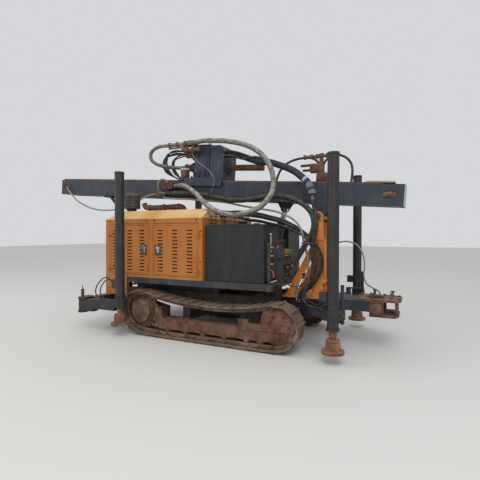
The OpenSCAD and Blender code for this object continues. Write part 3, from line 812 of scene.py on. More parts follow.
# The big air hose: forward from the head's clamps, down in a wide loop by the hood, back to the mast
AIR_ROUTE = (
    (-0.06, -0.30, 2.75), (0.06, -0.30, 2.75), (0.18, -0.34, 2.75), (0.40, -0.35, 2.73),
    (0.61, -0.35, 2.70), (0.80, -0.35, 2.65), (0.95, -0.35, 2.59), (1.12, -0.35, 2.47), (1.24, -0.37, 2.31),
    (1.31, -0.42, 2.11), (1.32, -0.50, 1.94), (1.25, -0.57, 1.81), (1.17, -0.63, 1.73), (1.04, -0.68, 1.68),
    (0.88, -0.70, 1.65), (0.75, -0.70, 1.67), (0.63, -0.70, 1.71), (0.53, -0.69, 1.76), (0.41, -0.64, 1.83),
    (0.18, -0.49, 1.98), (-0.07, -0.34, 2.105), (-0.19, -0.28, 2.14), (-0.27, -0.255, 2.145),
    (-0.354, -0.253, 2.142),
)
# From the same clamps back and round behind the head to the air swivel
SWIVEL_ROUTE = (
    (-0.06, -0.30, 2.75), (-0.18, -0.30, 2.75), (-0.30, -0.30, 2.75), (-0.43, -0.30, 2.752),
    (-0.52, -0.30, 2.757), (-0.62, -0.295, 2.752), (-0.72, -0.285, 2.72), (-0.785, -0.27, 2.66),
    (-0.79, -0.25, 2.585), (-0.74, -0.215, 2.525), (-0.65, -0.16, 2.485), (-0.55, -0.09, 2.467),
    (-0.45, -0.03, 2.462), (-0.37, 0.0, 2.458), (-0.306, 0.0, 2.4535),
)
# The sleeved bundle: from the gearbox's front forward and down the mast's near side
BUNDLE_ROUTE = (
    (0.474, -0.12, 2.565), (0.56, -0.12, 2.565), (0.70, -0.12, 2.535), (0.86, -0.12, 2.47),
    (1.00, -0.12, 2.42), (1.16, -0.13, 2.40), (1.29, -0.16, 2.35), (1.40, -0.20, 2.305),
    (1.49, -0.24, 2.26), (1.58, -0.29, 2.205), (1.66, -0.33, 2.14), (1.73, -0.36, 2.08),
    (1.78, -0.39, 2.01), (1.81, -0.41, 1.95), (1.82, -0.42, 1.89),
)
# The bundle's hoses, from the sleeve's end through the ring to the deck
TAIL_ROUTE = (
    (1.82, -0.42, 1.89), (1.828, -0.425, 1.83), (1.85, -0.44, 1.75), (1.874, -0.455, 1.66),
    (1.885, -0.465, 1.56), (1.88, -0.468, 1.46), (1.862, -0.465, 1.38), (1.84, -0.46, 1.30),
    (1.835, -0.455, 1.20), (1.842, -0.45, 1.08), (1.84, -0.44, 0.96), (1.80, -0.44, 0.84),
    (1.755, -0.445, 0.74), (1.725, -0.445, 0.65), (1.72, -0.445, 0.545),
)
# From the hose block along the mast's side, through the ring and back to the valve bank
LOOP_ROUTE = (
    (-0.62, -0.228, 2.04), (-0.52, -0.24, 2.04), (-0.38, -0.255, 2.033), (-0.03, -0.27, 2.01),
    (0.25, -0.28, 1.97), (0.46, -0.30, 1.92), (0.69, -0.32, 1.88), (0.95, -0.35, 1.88), (1.15, -0.36, 1.90),
    (1.30, -0.37, 1.91), (1.46, -0.39, 1.89), (1.63, -0.41, 1.83), (1.76, -0.43, 1.74), (1.83, -0.44, 1.64),
    (1.85, -0.45, 1.52), (1.82, -0.452, 1.41), (1.755, -0.452, 1.30), (1.695, -0.45, 1.20),
    (1.64, -0.448, 1.11), (1.59, -0.445, 1.04), (1.54, -0.442, 0.995), (1.502, -0.44, 0.975),
)
# Middle of the supply hoses: from the hood over the tank and through the ring to the deck
SUPPLY_ROUTE = (
    (0.472, -0.30, 1.69), (0.60, -0.30, 1.69), (0.76, -0.31, 1.68), (0.94, -0.32, 1.65),
    (1.08, -0.33, 1.63), (1.21, -0.34, 1.60), (1.38, -0.36, 1.56), (1.56, -0.375, 1.49),
    (1.71, -0.375, 1.40), (1.80, -0.375, 1.30), (1.88, -0.385, 1.19), (1.91, -0.39, 1.08),
    (1.89, -0.39, 0.96), (1.81, -0.39, 0.81), (1.71, -0.39, 0.70), (1.672, -0.39, 0.64),
    (1.672, -0.39, 0.545),
)
# From the slot at the mast's rear end, hanging along its side, to the hose block
SLOT_ROUTE = (
    (-2.70, -0.205, 2.262), (-2.68, -0.24, 2.25), (-2.62, -0.255, 2.19), (-2.52, -0.26, 2.09),
    (-2.38, -0.27, 1.99), (-2.18, -0.28, 1.90), (-1.95, -0.30, 1.835), (-1.74, -0.30, 1.81),
    (-1.50, -0.30, 1.815), (-1.24, -0.30, 1.86), (-1.04, -0.28, 1.94), (-0.87, -0.26, 2.01),
    (-0.76, -0.24, 2.035), (-0.69, -0.225, 2.04),
)
# A short loop from the hose block up to the bracket
BRACKET_ROUTE = (
    (-0.66, -0.225, 2.07), (-0.665, -0.245, 2.13), (-0.65, -0.262, 2.20), (-0.60, -0.27, 2.25),
    (-0.54, -0.27, 2.255), (-0.49, -0.27, 2.23), (-0.472, -0.27, 2.197),
)
# From the hose block along the mast and down beside the ring to the deck
PILOT_ROUTE = (
    (-0.62, -0.225, 2.00), (-0.50, -0.235, 1.965), (-0.35, -0.24, 1.95), (-0.10, -0.24, 1.935),
    (0.11, -0.24, 1.905), (0.34, -0.25, 1.885), (0.54, -0.26, 1.86), (0.81, -0.28, 1.80),
    (1.10, -0.30, 1.75), (1.37, -0.33, 1.69), (1.56, -0.38, 1.60), (1.65, -0.42, 1.52),
    (1.70, -0.445, 1.43), (1.705, -0.42, 1.35), (1.715, -0.395, 1.28), (1.74, -0.385, 1.18),
    (1.76, -0.385, 1.07), (1.755, -0.39, 0.95), (1.71, -0.40, 0.82), (1.65, -0.395, 0.71),
    (1.615, -0.38, 0.62), (1.61, -0.375, 0.545),
)
# A thin wire from the head's side down to the mast
WIRE_ROUTE = (
    (-0.03, -0.193, 2.66), (-0.035, -0.23, 2.655), (-0.02, -0.28, 2.61), (0.03, -0.30, 2.54),
    (0.12, -0.31, 2.45), (0.23, -0.30, 2.37), (0.31, -0.29, 2.29), (0.345, -0.27, 2.20),
    (0.32, -0.245, 2.10), (0.27, -0.215, 2.03), (0.24, -0.204, 1.99),
)
# Two lines that loop behind the near rear leg
LEG_ROUTES = (
    ((-0.842, -1.05, 0.74), (-0.90, -1.055, 0.80), (-0.97, -1.06, 0.80), (-1.05, -1.06, 0.75),
     (-1.12, -1.06, 0.67), (-1.14, -1.06, 0.58), (-1.10, -1.06, 0.52), (-1.04, -1.055, 0.50),
     (-0.98, -1.05, 0.492)),
    ((-0.842, -1.02, 0.72), (-0.89, -1.02, 0.765), (-0.95, -1.02, 0.77), (-1.03, -1.02, 0.72),
     (-1.085, -1.02, 0.64), (-1.09, -1.02, 0.57), (-1.05, -1.02, 0.515), (-0.99, -1.02, 0.492)),
)
# From the valve bank's front down to the brace of the mast's support
BRACE_ROUTE = (
    (1.522, -0.50, 1.15), (1.56, -0.50, 1.12), (1.57, -0.50, 1.03), (1.51, -0.495, 0.92),
    (1.49, -0.49, 0.84), (1.53, -0.48, 0.78), (1.62, -0.46, 0.755), (1.70, -0.42, 0.78),
    (1.735, -0.38, 0.84), (1.72, -0.33, 0.89), (1.66, -0.303, 0.90),
)
# Two lines from the deck under the ring to the near front leg
NOSE_ROUTES = (
    ((1.60, -0.335, 0.542), (1.62, -0.36, 0.60), (1.68, -0.43, 0.63), (1.77, -0.53, 0.62),
     (1.86, -0.62, 0.60), (1.94, -0.71, 0.595), (2.00, -0.80, 0.61), (2.04, -0.87, 0.645),
     (2.055, -0.905, 0.678)),
    ((1.66, -0.40, 0.542), (1.68, -0.43, 0.575), (1.75, -0.52, 0.57), (1.85, -0.63, 0.555),
     (1.95, -0.75, 0.56), (2.03, -0.85, 0.59), (2.075, -0.905, 0.64), (2.085, -0.915, 0.678)),
)
# Two lines that arch fore and aft from the far side's valve box to the mast
FAR_ROUTES = (
    ((1.779, 0.30, 2.278), (1.785, 0.30, 2.36), (1.82, 0.305, 2.44), (1.90, 0.31, 2.50), (2.00, 0.31, 2.51),
     (2.09, 0.31, 2.475), (2.16, 0.305, 2.40), (2.19, 0.29, 2.31), (2.19, 0.27, 2.20), (2.18, 0.24, 2.09),
     (2.17, 0.212, 2.00)),
    ((1.75, 0.33, 2.278), (1.74, 0.33, 2.36), (1.70, 0.33, 2.45), (1.62, 0.33, 2.50), (1.53, 0.325, 2.51),
     (1.40, 0.31, 2.50), (1.26, 0.30, 2.45), (1.16, 0.30, 2.36), (1.11, 0.30, 2.26), (1.08, 0.295, 2.15),
     (1.065, 0.27, 2.05), (1.06, 0.235, 1.98), (1.06, 0.212, 1.95)),
)
# From the far post of the mast's support down to the rod table's jaws
CLAMP_ROUTE = (
    (1.947, 0.285, 1.28), (2.03, 0.285, 1.30), (2.13, 0.28, 1.31), (2.25, 0.27, 1.27), (2.33, 0.26, 1.16),
    (2.36, 0.26, 1.00), (2.35, 0.265, 0.85), (2.39, 0.27, 0.74), (2.47, 0.28, 0.69), (2.54, 0.285, 0.65),
    (2.56, 0.285, 0.58),
)
HEAD_TO_MAST = (Body.HEAD, Body.MAST)
MAST_TO_RIG = (Body.MAST, Body.RIG)

# Where a hose between two bodies leaves the first and where it is fully on the second
AIR_BEND = ((0, -0.35, 2.62), (0, -0.35, 2.16))
SLEEVE_BEND = ((0.6, -0.12, 2.58), (1.6, -0.3, 2.18))
TAIL_BEND = ((1.82, -0.43, 1.85), (1.83, -0.45, 1.40))
LOOP_BEND = ((1.60, -0.40, 1.90), (1.85, -0.42, 1.45))
PILOT_BEND = ((1.30, -0.32, 1.75), (1.70, -0.42, 1.42))
WIRE_BEND = ((0.0, -0.28, 2.60), (0.28, -0.22, 2.05))


def hose_runs() -> tuple[HoseRun, ...]:
    """Give every hose and line: the large ones, the supply hoses, the thin ones, then the small sets."""
    grey, pale, black = "grey_hose", "pale_hose", "black_hose"
    on_mast_only, on_leg = (Body.MAST,), (Body.REAR_ARM_NEAR,)
    large = (
        HoseRun("air_hose", grey, 0.070, AIR_ROUTE, HEAD_TO_MAST, AIR_BEND),
        HoseRun("swivel_loop", grey, 0.055, SWIVEL_ROUTE, (Body.HEAD,)),
        HoseRun("sleeved_bundle", "sleeve", 0.090, BUNDLE_ROUTE, HEAD_TO_MAST, SLEEVE_BEND),
        HoseRun("bundle_tail", black, 0.052, TAIL_ROUTE, MAST_TO_RIG, TAIL_BEND),
        HoseRun("side_loop_hose", black, 0.070, LOOP_ROUTE, MAST_TO_RIG, LOOP_BEND),
    )
    thin = [
        HoseRun("slot_line", pale, 0.026, SLOT_ROUTE, on_mast_only),
        HoseRun("bracket_loop", pale, 0.022, BRACKET_ROUTE, on_mast_only),
        HoseRun("pilot_line", pale, 0.026, PILOT_ROUTE, MAST_TO_RIG, PILOT_BEND),
        HoseRun("depth_wire", pale, 0.009, WIRE_ROUTE, HEAD_TO_MAST, WIRE_BEND),
        HoseRun("brace_line", black, 0.016, BRACE_ROUTE),
        HoseRun("clamp_line", pale, 0.020, CLAMP_ROUTE),
    ]
    thin += [HoseRun(f"leg_line_{i}", black, 0.016, r, on_leg) for i, r in enumerate(LEG_ROUTES)]
    thin += [HoseRun(f"far_line_{i}", black, 0.034, r, on_mast_only) for i, r in enumerate(FAR_ROUTES)]
    thin += [HoseRun(f"nose_line_{i}", black, 0.018, r) for i, r in enumerate(NOSE_ROUTES)]
    return large + supply_lines() + tuple(thin) + motor_lines() + sleeve_lines() + valve_lines()


def motor_lines() -> tuple[HoseRun, ...]:
    """Give the thin lines from the motors' rear ends, back in a wide bend and down to the carriage's edge."""
    runs = []
    for i, port in enumerate((-0.140, -0.112, -0.080, -0.048, 0.060, 0.095, 0.130)):
        back, end, lift = 0.045 * (i % 4), port * 0.9 - 0.03, 0.035 * (i % 2)
        side = (port + end) / 2
        points = (
            (-0.222, port, 2.665 - lift), (-0.32, port * 1.1, 2.695 - lift),
            (-0.42, port * 1.15, 2.70 - lift), (-0.50 - back, port * 1.15, 2.675 - lift),
            (-0.56 - back, port, 2.61), (-0.565 - back, side, 2.52), (-0.53 - back, side, 2.42),
            (-0.46 - back / 2, side, 2.33), (-0.38, side, 2.275), (-0.28, end, 2.25), (-0.197, end, 2.2445),
        )
        runs.append(HoseRun(f"motor_line_{i}", "black_hose", 0.020, points, (Body.HEAD,)))
    return tuple(runs)


def sleeve_lines() -> tuple[HoseRun, ...]:
    """Give the three hoses that leave the gearbox beside the bundle and run into its sleeve.

    Their ends are inside the sleeve, so only their starts are crimped.
    """
    runs = []
    for i, (y, z, reach) in enumerate(((-0.165, 2.615, 0.0), (-0.075, 2.60, 0.05), (-0.19, 2.545, 0.10))):
        points = (
            (0.442, y, z), (0.52, y, z - 0.004), (0.64, y * 1.02, z - 0.03), (0.76, y, z - 0.072),
            (0.88 + reach / 2, (y - 0.12) / 2, 2.49), (1.00 + reach, -0.125 + (y + 0.12) * 0.3, 2.452),
        )
        name = f"sleeve_line_{i}"
        runs.append(
            HoseRun(name, "black_hose", 0.030, points, HEAD_TO_MAST, SLEEVE_BEND, ends_crimped=False)
        )
    return tuple(runs)


def valve_lines() -> tuple[HoseRun, ...]:
    """Give the short lines that loop from the front of the valve block down to its stand."""
    runs = []
    for i, y in enumerate((-0.58, -0.545)):
        out = 0.02 * i
        points = (
            (1.522, y, 1.18), (1.56, y, 1.175), (1.60 + out, y, 1.14), (1.63 + out, y, 1.07),
            (1.635 + out, y, 0.99), (1.61 + out, y, 0.91), (1.56, y, 0.87), (1.502, y, 0.86),
        )
        runs.append(HoseRun(f"valve_line_{i}", "black_hose", 0.018, points))
    return tuple(runs)


def supply_lines(count: int = 5, diameter: float = 0.028) -> tuple[HoseRun, ...]:
    """Give the supply hoses, side by side round one route, spread over the tank and close at the ring.

    A hose's offset is reach * (cos a * first + sin a * second), with the reach read off a short table
    over the share of the route.

    Args:
        count: How many there are.
        diameter: Diameter of each.

    Returns:
        The runs.
    """
    route = np.array(SUPPLY_ROUTE)
    _, first, second = frames_along(route)
    s = distance_along(route) / distance_along(route)[-1]
    shares = (0.0, 0.2, 0.4, 0.56, 0.75, 0.9, 1.0)
    reach = np.interp(s, shares, (0.026, 0.06, 0.05, 0.027, 0.038, 0.03, 0.026))
    runs = []
    for i in range(count):
        a = math.tau * i / count + 0.4
        offset = reach[:, None] * (math.cos(a) * first + math.sin(a) * second)
        points = tuple(map(tuple, (route + offset).tolist()))
        runs.append(HoseRun(f"supply_hose_{i}", "black_hose", diameter, points))
    return tuple(runs)


# The small pieces, by sub-assembly

# Directions of turned pieces: along the machine, and up
ALONG = (1.0, 0.0, 0.0)
UP = (0.0, 0.0, 1.0)


@dataclass
class Assembly:
    """A sub-assembly that makes pieces and lets each ride on a body."""

    palette: Palette

    def fit(
        self, name: str, surfaces: list[Surface], finish: str, body: Body = Body.RIG, smooth: bool = True
    ) -> None:
        """Join surfaces into one piece, give it its finish and let it ride on a body.

        Args:
            name: The piece's name.
            surfaces: What it is made of.
            finish: A key of FINISHES.
            body: The body it rides on.
            smooth: Whether its faces are shaded smooth.
        """
        obj = mesh_object(name, joined(surfaces), self.palette.get(finish), smooth)
        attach(obj, body.value)
        LOG.info("%s: %d faces on %s", name, len(obj.data.polygons), body.value)

    def fit_on_mast(
        self, name: str, surfaces: list[Surface], finish: str, body: Body = Body.MAST, smooth: bool = True
    ) -> None:
        """Fit a piece whose surfaces are drawn along, across and up from the mast's own axis."""
        self.fit(name, [on_mast(s) for s in surfaces], finish, body, smooth)


@dataclass
class HoseSet(Assembly):
    """Lays every hose of the machine, with a crimped end fitting on each large one.

    The crimp's length is in diameters, and hoses thicker than crimped_over metres get one.
    """

    sides: int = 16
    crimp_length: float = 1.5
    crimped_over: float = 0.025
    shortest_step: float = 0.016
    tape_step: float = 0.012

    def build(self) -> None:
        for run in hose_runs():
            line = smooth_line(list(run.points), max(self.shortest_step, run.diameter * 0.5))
            obj = hose_object(run.name, line, run.diameter / 2, self.sides, self.palette.get(run.finish))
            if run.bend:
                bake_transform(obj)
            else:
                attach(obj, run.bodies[0].value)
            if run.finish == "sleeve":
                self.tape(smooth_line(list(run.points), self.tape_step), run.diameter / 2)
            elif run.diameter > self.crimped_over:
                self.crimp(f"{run.name}_start", line[0], line[1] - line[0], run, run.bodies[0])
                if run.ends_crimped:
                    self.crimp(f"{run.name}_end", line[-1], line[-2] - line[-1], run, run.bodies[-1])

    def tape(self, line: np.ndarray, r: float) -> None:
        """Wind three turns of tape round the sleeve's lower end, which hangs on the mast."""
        s = distance_along(line)
        # each turn: how far back from the end its middle is, half its width and its finish
        turns = ((0.035, 0.030, "tape"), (0.135, 0.045, "tape"), (0.245, 0.022, "pale"))
        for i, (back, half_width, finish) in enumerate(turns):
            part = line[np.abs(s[-1] - back - s) <= half_width]
            self.fit(f"sleeve_tape_{i}", [tube(part, r * 1.04, 20)], finish, Body.MAST)

    def crimp(self, name: str, end: np.ndarray, inward: np.ndarray, run: HoseRun, body: Body) -> None:
        """Put a nut and a crimped sleeve on a hose's end, as a profile turned round its direction."""
        r = run.diameter / 2
        n = self.crimp_length * run.diameter
        profile = [(r * 1.3, 0.0), (r * 1.3, n * 0.25), (r * 1.12, n * 0.3), (r * 1.12, n * 0.55),
                   (r * 1.17, n * 0.58), (r * 1.17, n * 0.7), (r * 1.1, n * 0.73), (r * 1.1, n)]
        self.fit(name, [revolved(profile, tuple(end), tuple(inward), 12)], "zinc", body)


@dataclass
class HeadTrim(Assembly):
    """The rotary head's motors, swivel, air line, filter, flanges and bolts."""

    motor_v: float = 0.095
    motor_w: float = 0.56
    spindle_w: float = 0.36
    flange_half_v: float = 0.20
    flange_top: float = 0.1985
    bolt_r: float = 0.012
    gland_bolt_circle: float = 0.094
    cover_v: float = 0.196
    rib_v: float = 0.212
    air_y: float = -0.30
    air_hose_z: float = 2.751
    air_pipe_z: float = 2.65
    filter_foot: Point = (-0.225, -0.15, 2.262)

    def build(self) -> None:
        """Build each group of the head's small pieces."""
        self.motors()
        self.swivel()
        self.bolts()
        self.covers()
        self.air_line()
        self.filter_can()

    def motors(self) -> None:
        """Turn each motor's casing, from its rear cap over its seams to its flange, and add its ports."""
        casing = [(0.022, -0.272), (0.040, -0.270), (0.055, -0.262), (0.068, -0.256), (0.068, -0.236),
                  (0.0635, -0.233), (0.0635, -0.205), (0.067, -0.203), (0.067, -0.196), (0.0635, -0.194),
                  (0.0635, -0.130), (0.072, -0.127), (0.072, -0.108), (0.0635, -0.105), (0.0635, -0.082),
                  (0.084, -0.080), (0.084, -0.062)]
        across = [s.value * self.motor_v for s in Side]
        cases = [revolved(casing, (0, v, self.motor_w), ALONG, 28) for v in across]
        ports = [rounded_slab((-0.262, v - 0.042, 0.585), (-0.225, v + 0.042, 0.640), 0.006) for v in across]
        self.fit_on_mast("motor_casings", cases + ports, "rust", Body.HEAD)

    def swivel(self) -> None:
        """Turn the air swivel behind the spindle, with its collars and its flange on the gearbox."""
        profile = [(0.052, -0.331), (0.060, -0.328), (0.060, -0.300), (0.049, -0.297), (0.049, -0.245),
                   (0.057, -0.243), (0.057, -0.222), (0.049, -0.220), (0.049, -0.202), (0.074, -0.199),
                   (0.078, -0.190), (0.078, -0.165), (0.072, -0.160), (0.072, -0.085), (0.092, -0.082),
                   (0.092, -0.062)]
        swivel = revolved(profile, (0, 0, self.spindle_w), ALONG, 28)
        self.fit_on_mast("air_swivel", [swivel], "rust", Body.HEAD)

    def bolts(self) -> None:
        """Set seven bolts along each side of the gearbox's flange, and ten round the packing gland."""
        r = self.bolt_r
        head = [(r * 0.8, 0.0), (r, 0.001), (r, 0.009), (r * 0.8, 0.011)]
        along = np.linspace(-0.09, 0.19, 7)
        flange = [revolved(head, (u, s.value * self.flange_half_v, self.flange_top), UP, 6)
                  for s in Side for u in along]
        small = [(0.009, 0.0), (0.011, 0.001), (0.011, 0.011)]
        circle = self.gland_bolt_circle
        turns = np.linspace(0, math.tau, 10, endpoint=False)
        spots = [(circle * math.cos(a), self.spindle_w + circle * math.sin(a)) for a in turns]
        gland = [revolved(small, (0.452, v, w), ALONG, 6) for v, w in spots]
        self.fit_on_mast("gearbox_bolts", flange + gland, "zinc", Body.HEAD, smooth=False)

    def covers(self) -> None:
        """Add the spindle's packing gland, and the gearbox's side covers, ribs, lid and lifting eyes."""
        gland = [(0.118, 0.437), (0.118, 0.446), (0.112, 0.452), (0.072, 0.453), (0.070, 0.470),
                 (0.053, 0.472)]
        parts = [revolved(gland, (0, 0, self.spindle_w), ALONG, 32)]
        for v in [s.value * self.cover_v for s in Side]:
            parts.append(rounded_slab((-0.02, v - 0.005, 0.27), (0.155, v + 0.005, 0.50), 0.004))
        for v in [s.value * self.rib_v for s in Side]:
            for u in (-0.04, 0.05, 0.14):
                low, high = (u - 0.006, v - 0.022, 0.199), (u + 0.006, v + 0.010, 0.262)
                parts.append(rounded_slab(low, high, 0.003))
        parts.append(rounded_slab((-0.068, -0.198, 0.660), (0.203, 0.198, 0.674), 0.005))
        arch = ((-0.03, 0.672), (-0.026, 0.705), (0.0, 0.72), (0.026, 0.705), (0.03, 0.672))
        for u, v in ((-0.02, 0.12), (0.15, -0.12)):
            parts.append(tube(smooth_line([(u, v + out, w) for out, w in arch], 0.006), 0.007, 8))
        self.fit_on_mast("gearbox_covers", parts, "head", Body.HEAD)

    def air_line(self) -> None:
        """Build the clamps that carry the air hose, its rusty lower pipe and the arms back to the gearbox."""
        y, z = self.air_y, self.air_pipe_z
        clamp = [(0.030, -0.016), (0.040, -0.014), (0.040, 0.014), (0.030, 0.016)]
        flange = [(0.030, -0.012), (0.044, -0.011), (0.044, 0.011), (0.030, 0.012)]
        pipe = [(-0.16, y, 2.73), (-0.165, y, 2.70), (-0.165, y, 2.675), (-0.14, y, 2.655), (-0.10, y, z),
                (0.0, y, z), (0.12, y, z)]
        rail = [(x, y + 0.01, 2.705) for x in (-0.42, -0.20, 0.05)]
        parts = [revolved(clamp, (x, y, self.air_hose_z), ALONG, 20) for x in (-0.40, -0.26, -0.12)]
        parts.append(tube(smooth_line(pipe, 0.012), 0.028, 16))
        parts += [revolved(flange, (x, y, z), ALONG, 20) for x in (-0.09, 0.02, 0.115)]
        for x, level in ((0.03, 2.655), (-0.09, 2.645), (0.03, 2.70)):
            low, high = (x - 0.02, y + 0.02, level - 0.007), (x + 0.02, -0.185, level + 0.007)
            parts.append(rounded_slab(low, high, 0.003))
        parts.append(tube(smooth_line(rail, 0.02), 0.014, 10))
        self.fit("air_line", parts, "rust", Body.HEAD)

    def filter_can(self) -> None:
        """Stand the oil filter on the carriage's rear edge: a can with a rolled seam under a domed cap."""
        can = [(0.060, -0.012), (0.066, -0.008), (0.066, 0.105), (0.071, 0.110), (0.071, 0.118),
               (0.064, 0.122)]
        cap = [(0.070, 0.121), (0.078, 0.125), (0.078, 0.140), (0.070, 0.150), (0.040, 0.158),
               (0.012, 0.160)]
        self.fit("filter_can", [revolved(can, self.filter_foot, UP, 28)], "rust", Body.HEAD)
        self.fit("filter_cap", [revolved(cap, self.filter_foot, UP, 28)], "pale", Body.HEAD)
        shelf = rounded_slab((-0.30, -0.225, 2.236), (-0.17, -0.08, 2.250), 0.004)
        self.fit("filter_shelf", [shelf], "head", Body.HEAD)


@dataclass
class MastTrim(Assembly):
    """The feed chain, chain adjusters, end plate, hose block and far-side pipes on the mast."""

    half_length: float = 2.868
    sprocket_u: float = 2.703
    pitch: float = 0.0508
    plate_gap: float = 0.018
    chain_w: float = 0.098
    hub_v: float = 0.187
    seat_v: tuple[float, float] = (0.190, 0.201)
    breaker_y: float = 0.325
    breaker_z: float = 2.52

    def build(self) -> None:
        """Build each group of the mast's small pieces."""
        self.feed_chain()
        self.chain_adjusters()
        end = self.half_length
        plate = rounded_slab((end - 0.006, -0.206, -0.133), (end + 0.006, 0.206, 0.133), 0.004)
        self.fit_on_mast("end_plate", [plate], "pale")
        board = rounded_slab((2.42, -0.16, 0.147), (2.75, 0.14, 0.168), 0.005)
        self.fit_on_mast("packing_board", [board], "board")
        block = rounded_slab((-0.705, -0.262, 1.985), (-0.600, -0.199, 2.085), 0.006)
        shelf = rounded_slab((-0.56, -0.310, 2.184), (-0.35, -0.215, 2.196), 0.004)
        self.fit("hose_block", [block, shelf], "rust", Body.MAST)
        self.far_breaker()

    def feed_chain(self) -> None:
        """Lay the roller chain's top run in the mast's slot: outer and inner plates, a roller at each pin."""
        pins = np.arange(-self.sprocket_u, self.sprocket_u - self.pitch, self.pitch)
        plate = rounded_slab((-0.010, -0.002, -0.010), (self.pitch + 0.010, 0.002, 0.010), 0.0015)
        gap = self.plate_gap + 0.005 * (np.arange(len(pins)) % 2)
        level = np.full(len(pins), self.chain_w)
        places = [np.stack([pins, s.value * gap, level], -1) for s in Side]
        roller = revolved([(0.009, -0.017), (0.009, 0.017)], (0, 0, 0), (0, 1, 0), 8)
        rollers = np.stack([pins, np.zeros(len(pins)), level], -1)
        parts = [copies(plate, np.concatenate(places)), copies(roller, rollers)]
        self.fit_on_mast("feed_chain", parts, "rust")

    def chain_adjusters(self) -> None:
        """Set a stepped hub on a seat at both sides of each sprocket."""
        hub = [(0.040, 0.0), (0.040, 0.010), (0.030, 0.014), (0.030, 0.026), (0.018, 0.028), (0.018, 0.036)]
        places = [(end * self.sprocket_u, s.value) for end in (-1, 1) for s in Side]
        hubs = [revolved(hub, (u, side * self.hub_v, 0.0), (0, side, 0), 20) for u, side in places]
        seats = []
        for u, side in places:
            low, high = sorted(side * v for v in self.seat_v)
            seats.append(rounded_slab((u - 0.075, low, -0.03), (u + 0.075, high, 0.03), 0.004))
        self.fit_on_mast("chain_adjusters", hubs + seats, "rust")

    def far_breaker(self) -> None:
        """Build the far side's breaker: a post on its turret, three cross pipes, collars and a valve box."""
        y = self.breaker_y
        post = [(0.045, 2.27), (0.045, 2.29), (0.030, 2.30), (0.030, 2.50), (0.040, 2.505), (0.040, 2.545),
                (0.020, 2.56)]
        collar = [(0.026, -0.014), (0.036, -0.012), (0.036, 0.012), (0.026, 0.014)]
        # each pipe: X of its two ends, its height and its radius
        pipes = ((1.50, 1.87, self.breaker_z, 0.024), (1.46, 1.62, 2.40, 0.020), (1.49, 1.62, 2.33, 0.018))
        parts = [revolved(post, (1.76, y, 0.0), UP, 20)]
        for start, end, z, r in pipes:
            line = [(x, y, z) for x in (start, (start + end) / 2, end)]
            parts.append(tube(smooth_line(line, 0.03), r, 14))
        parts += [revolved(collar, (x, y, self.breaker_z), ALONG, 16) for x in (1.52, 1.62, 1.70, 1.84)]
        parts.append(rounded_slab((1.60, 0.275, 2.285), (1.80, 0.36, 2.415), 0.012))
        self.fit("far_breaker", parts, "rust", Body.MAST)


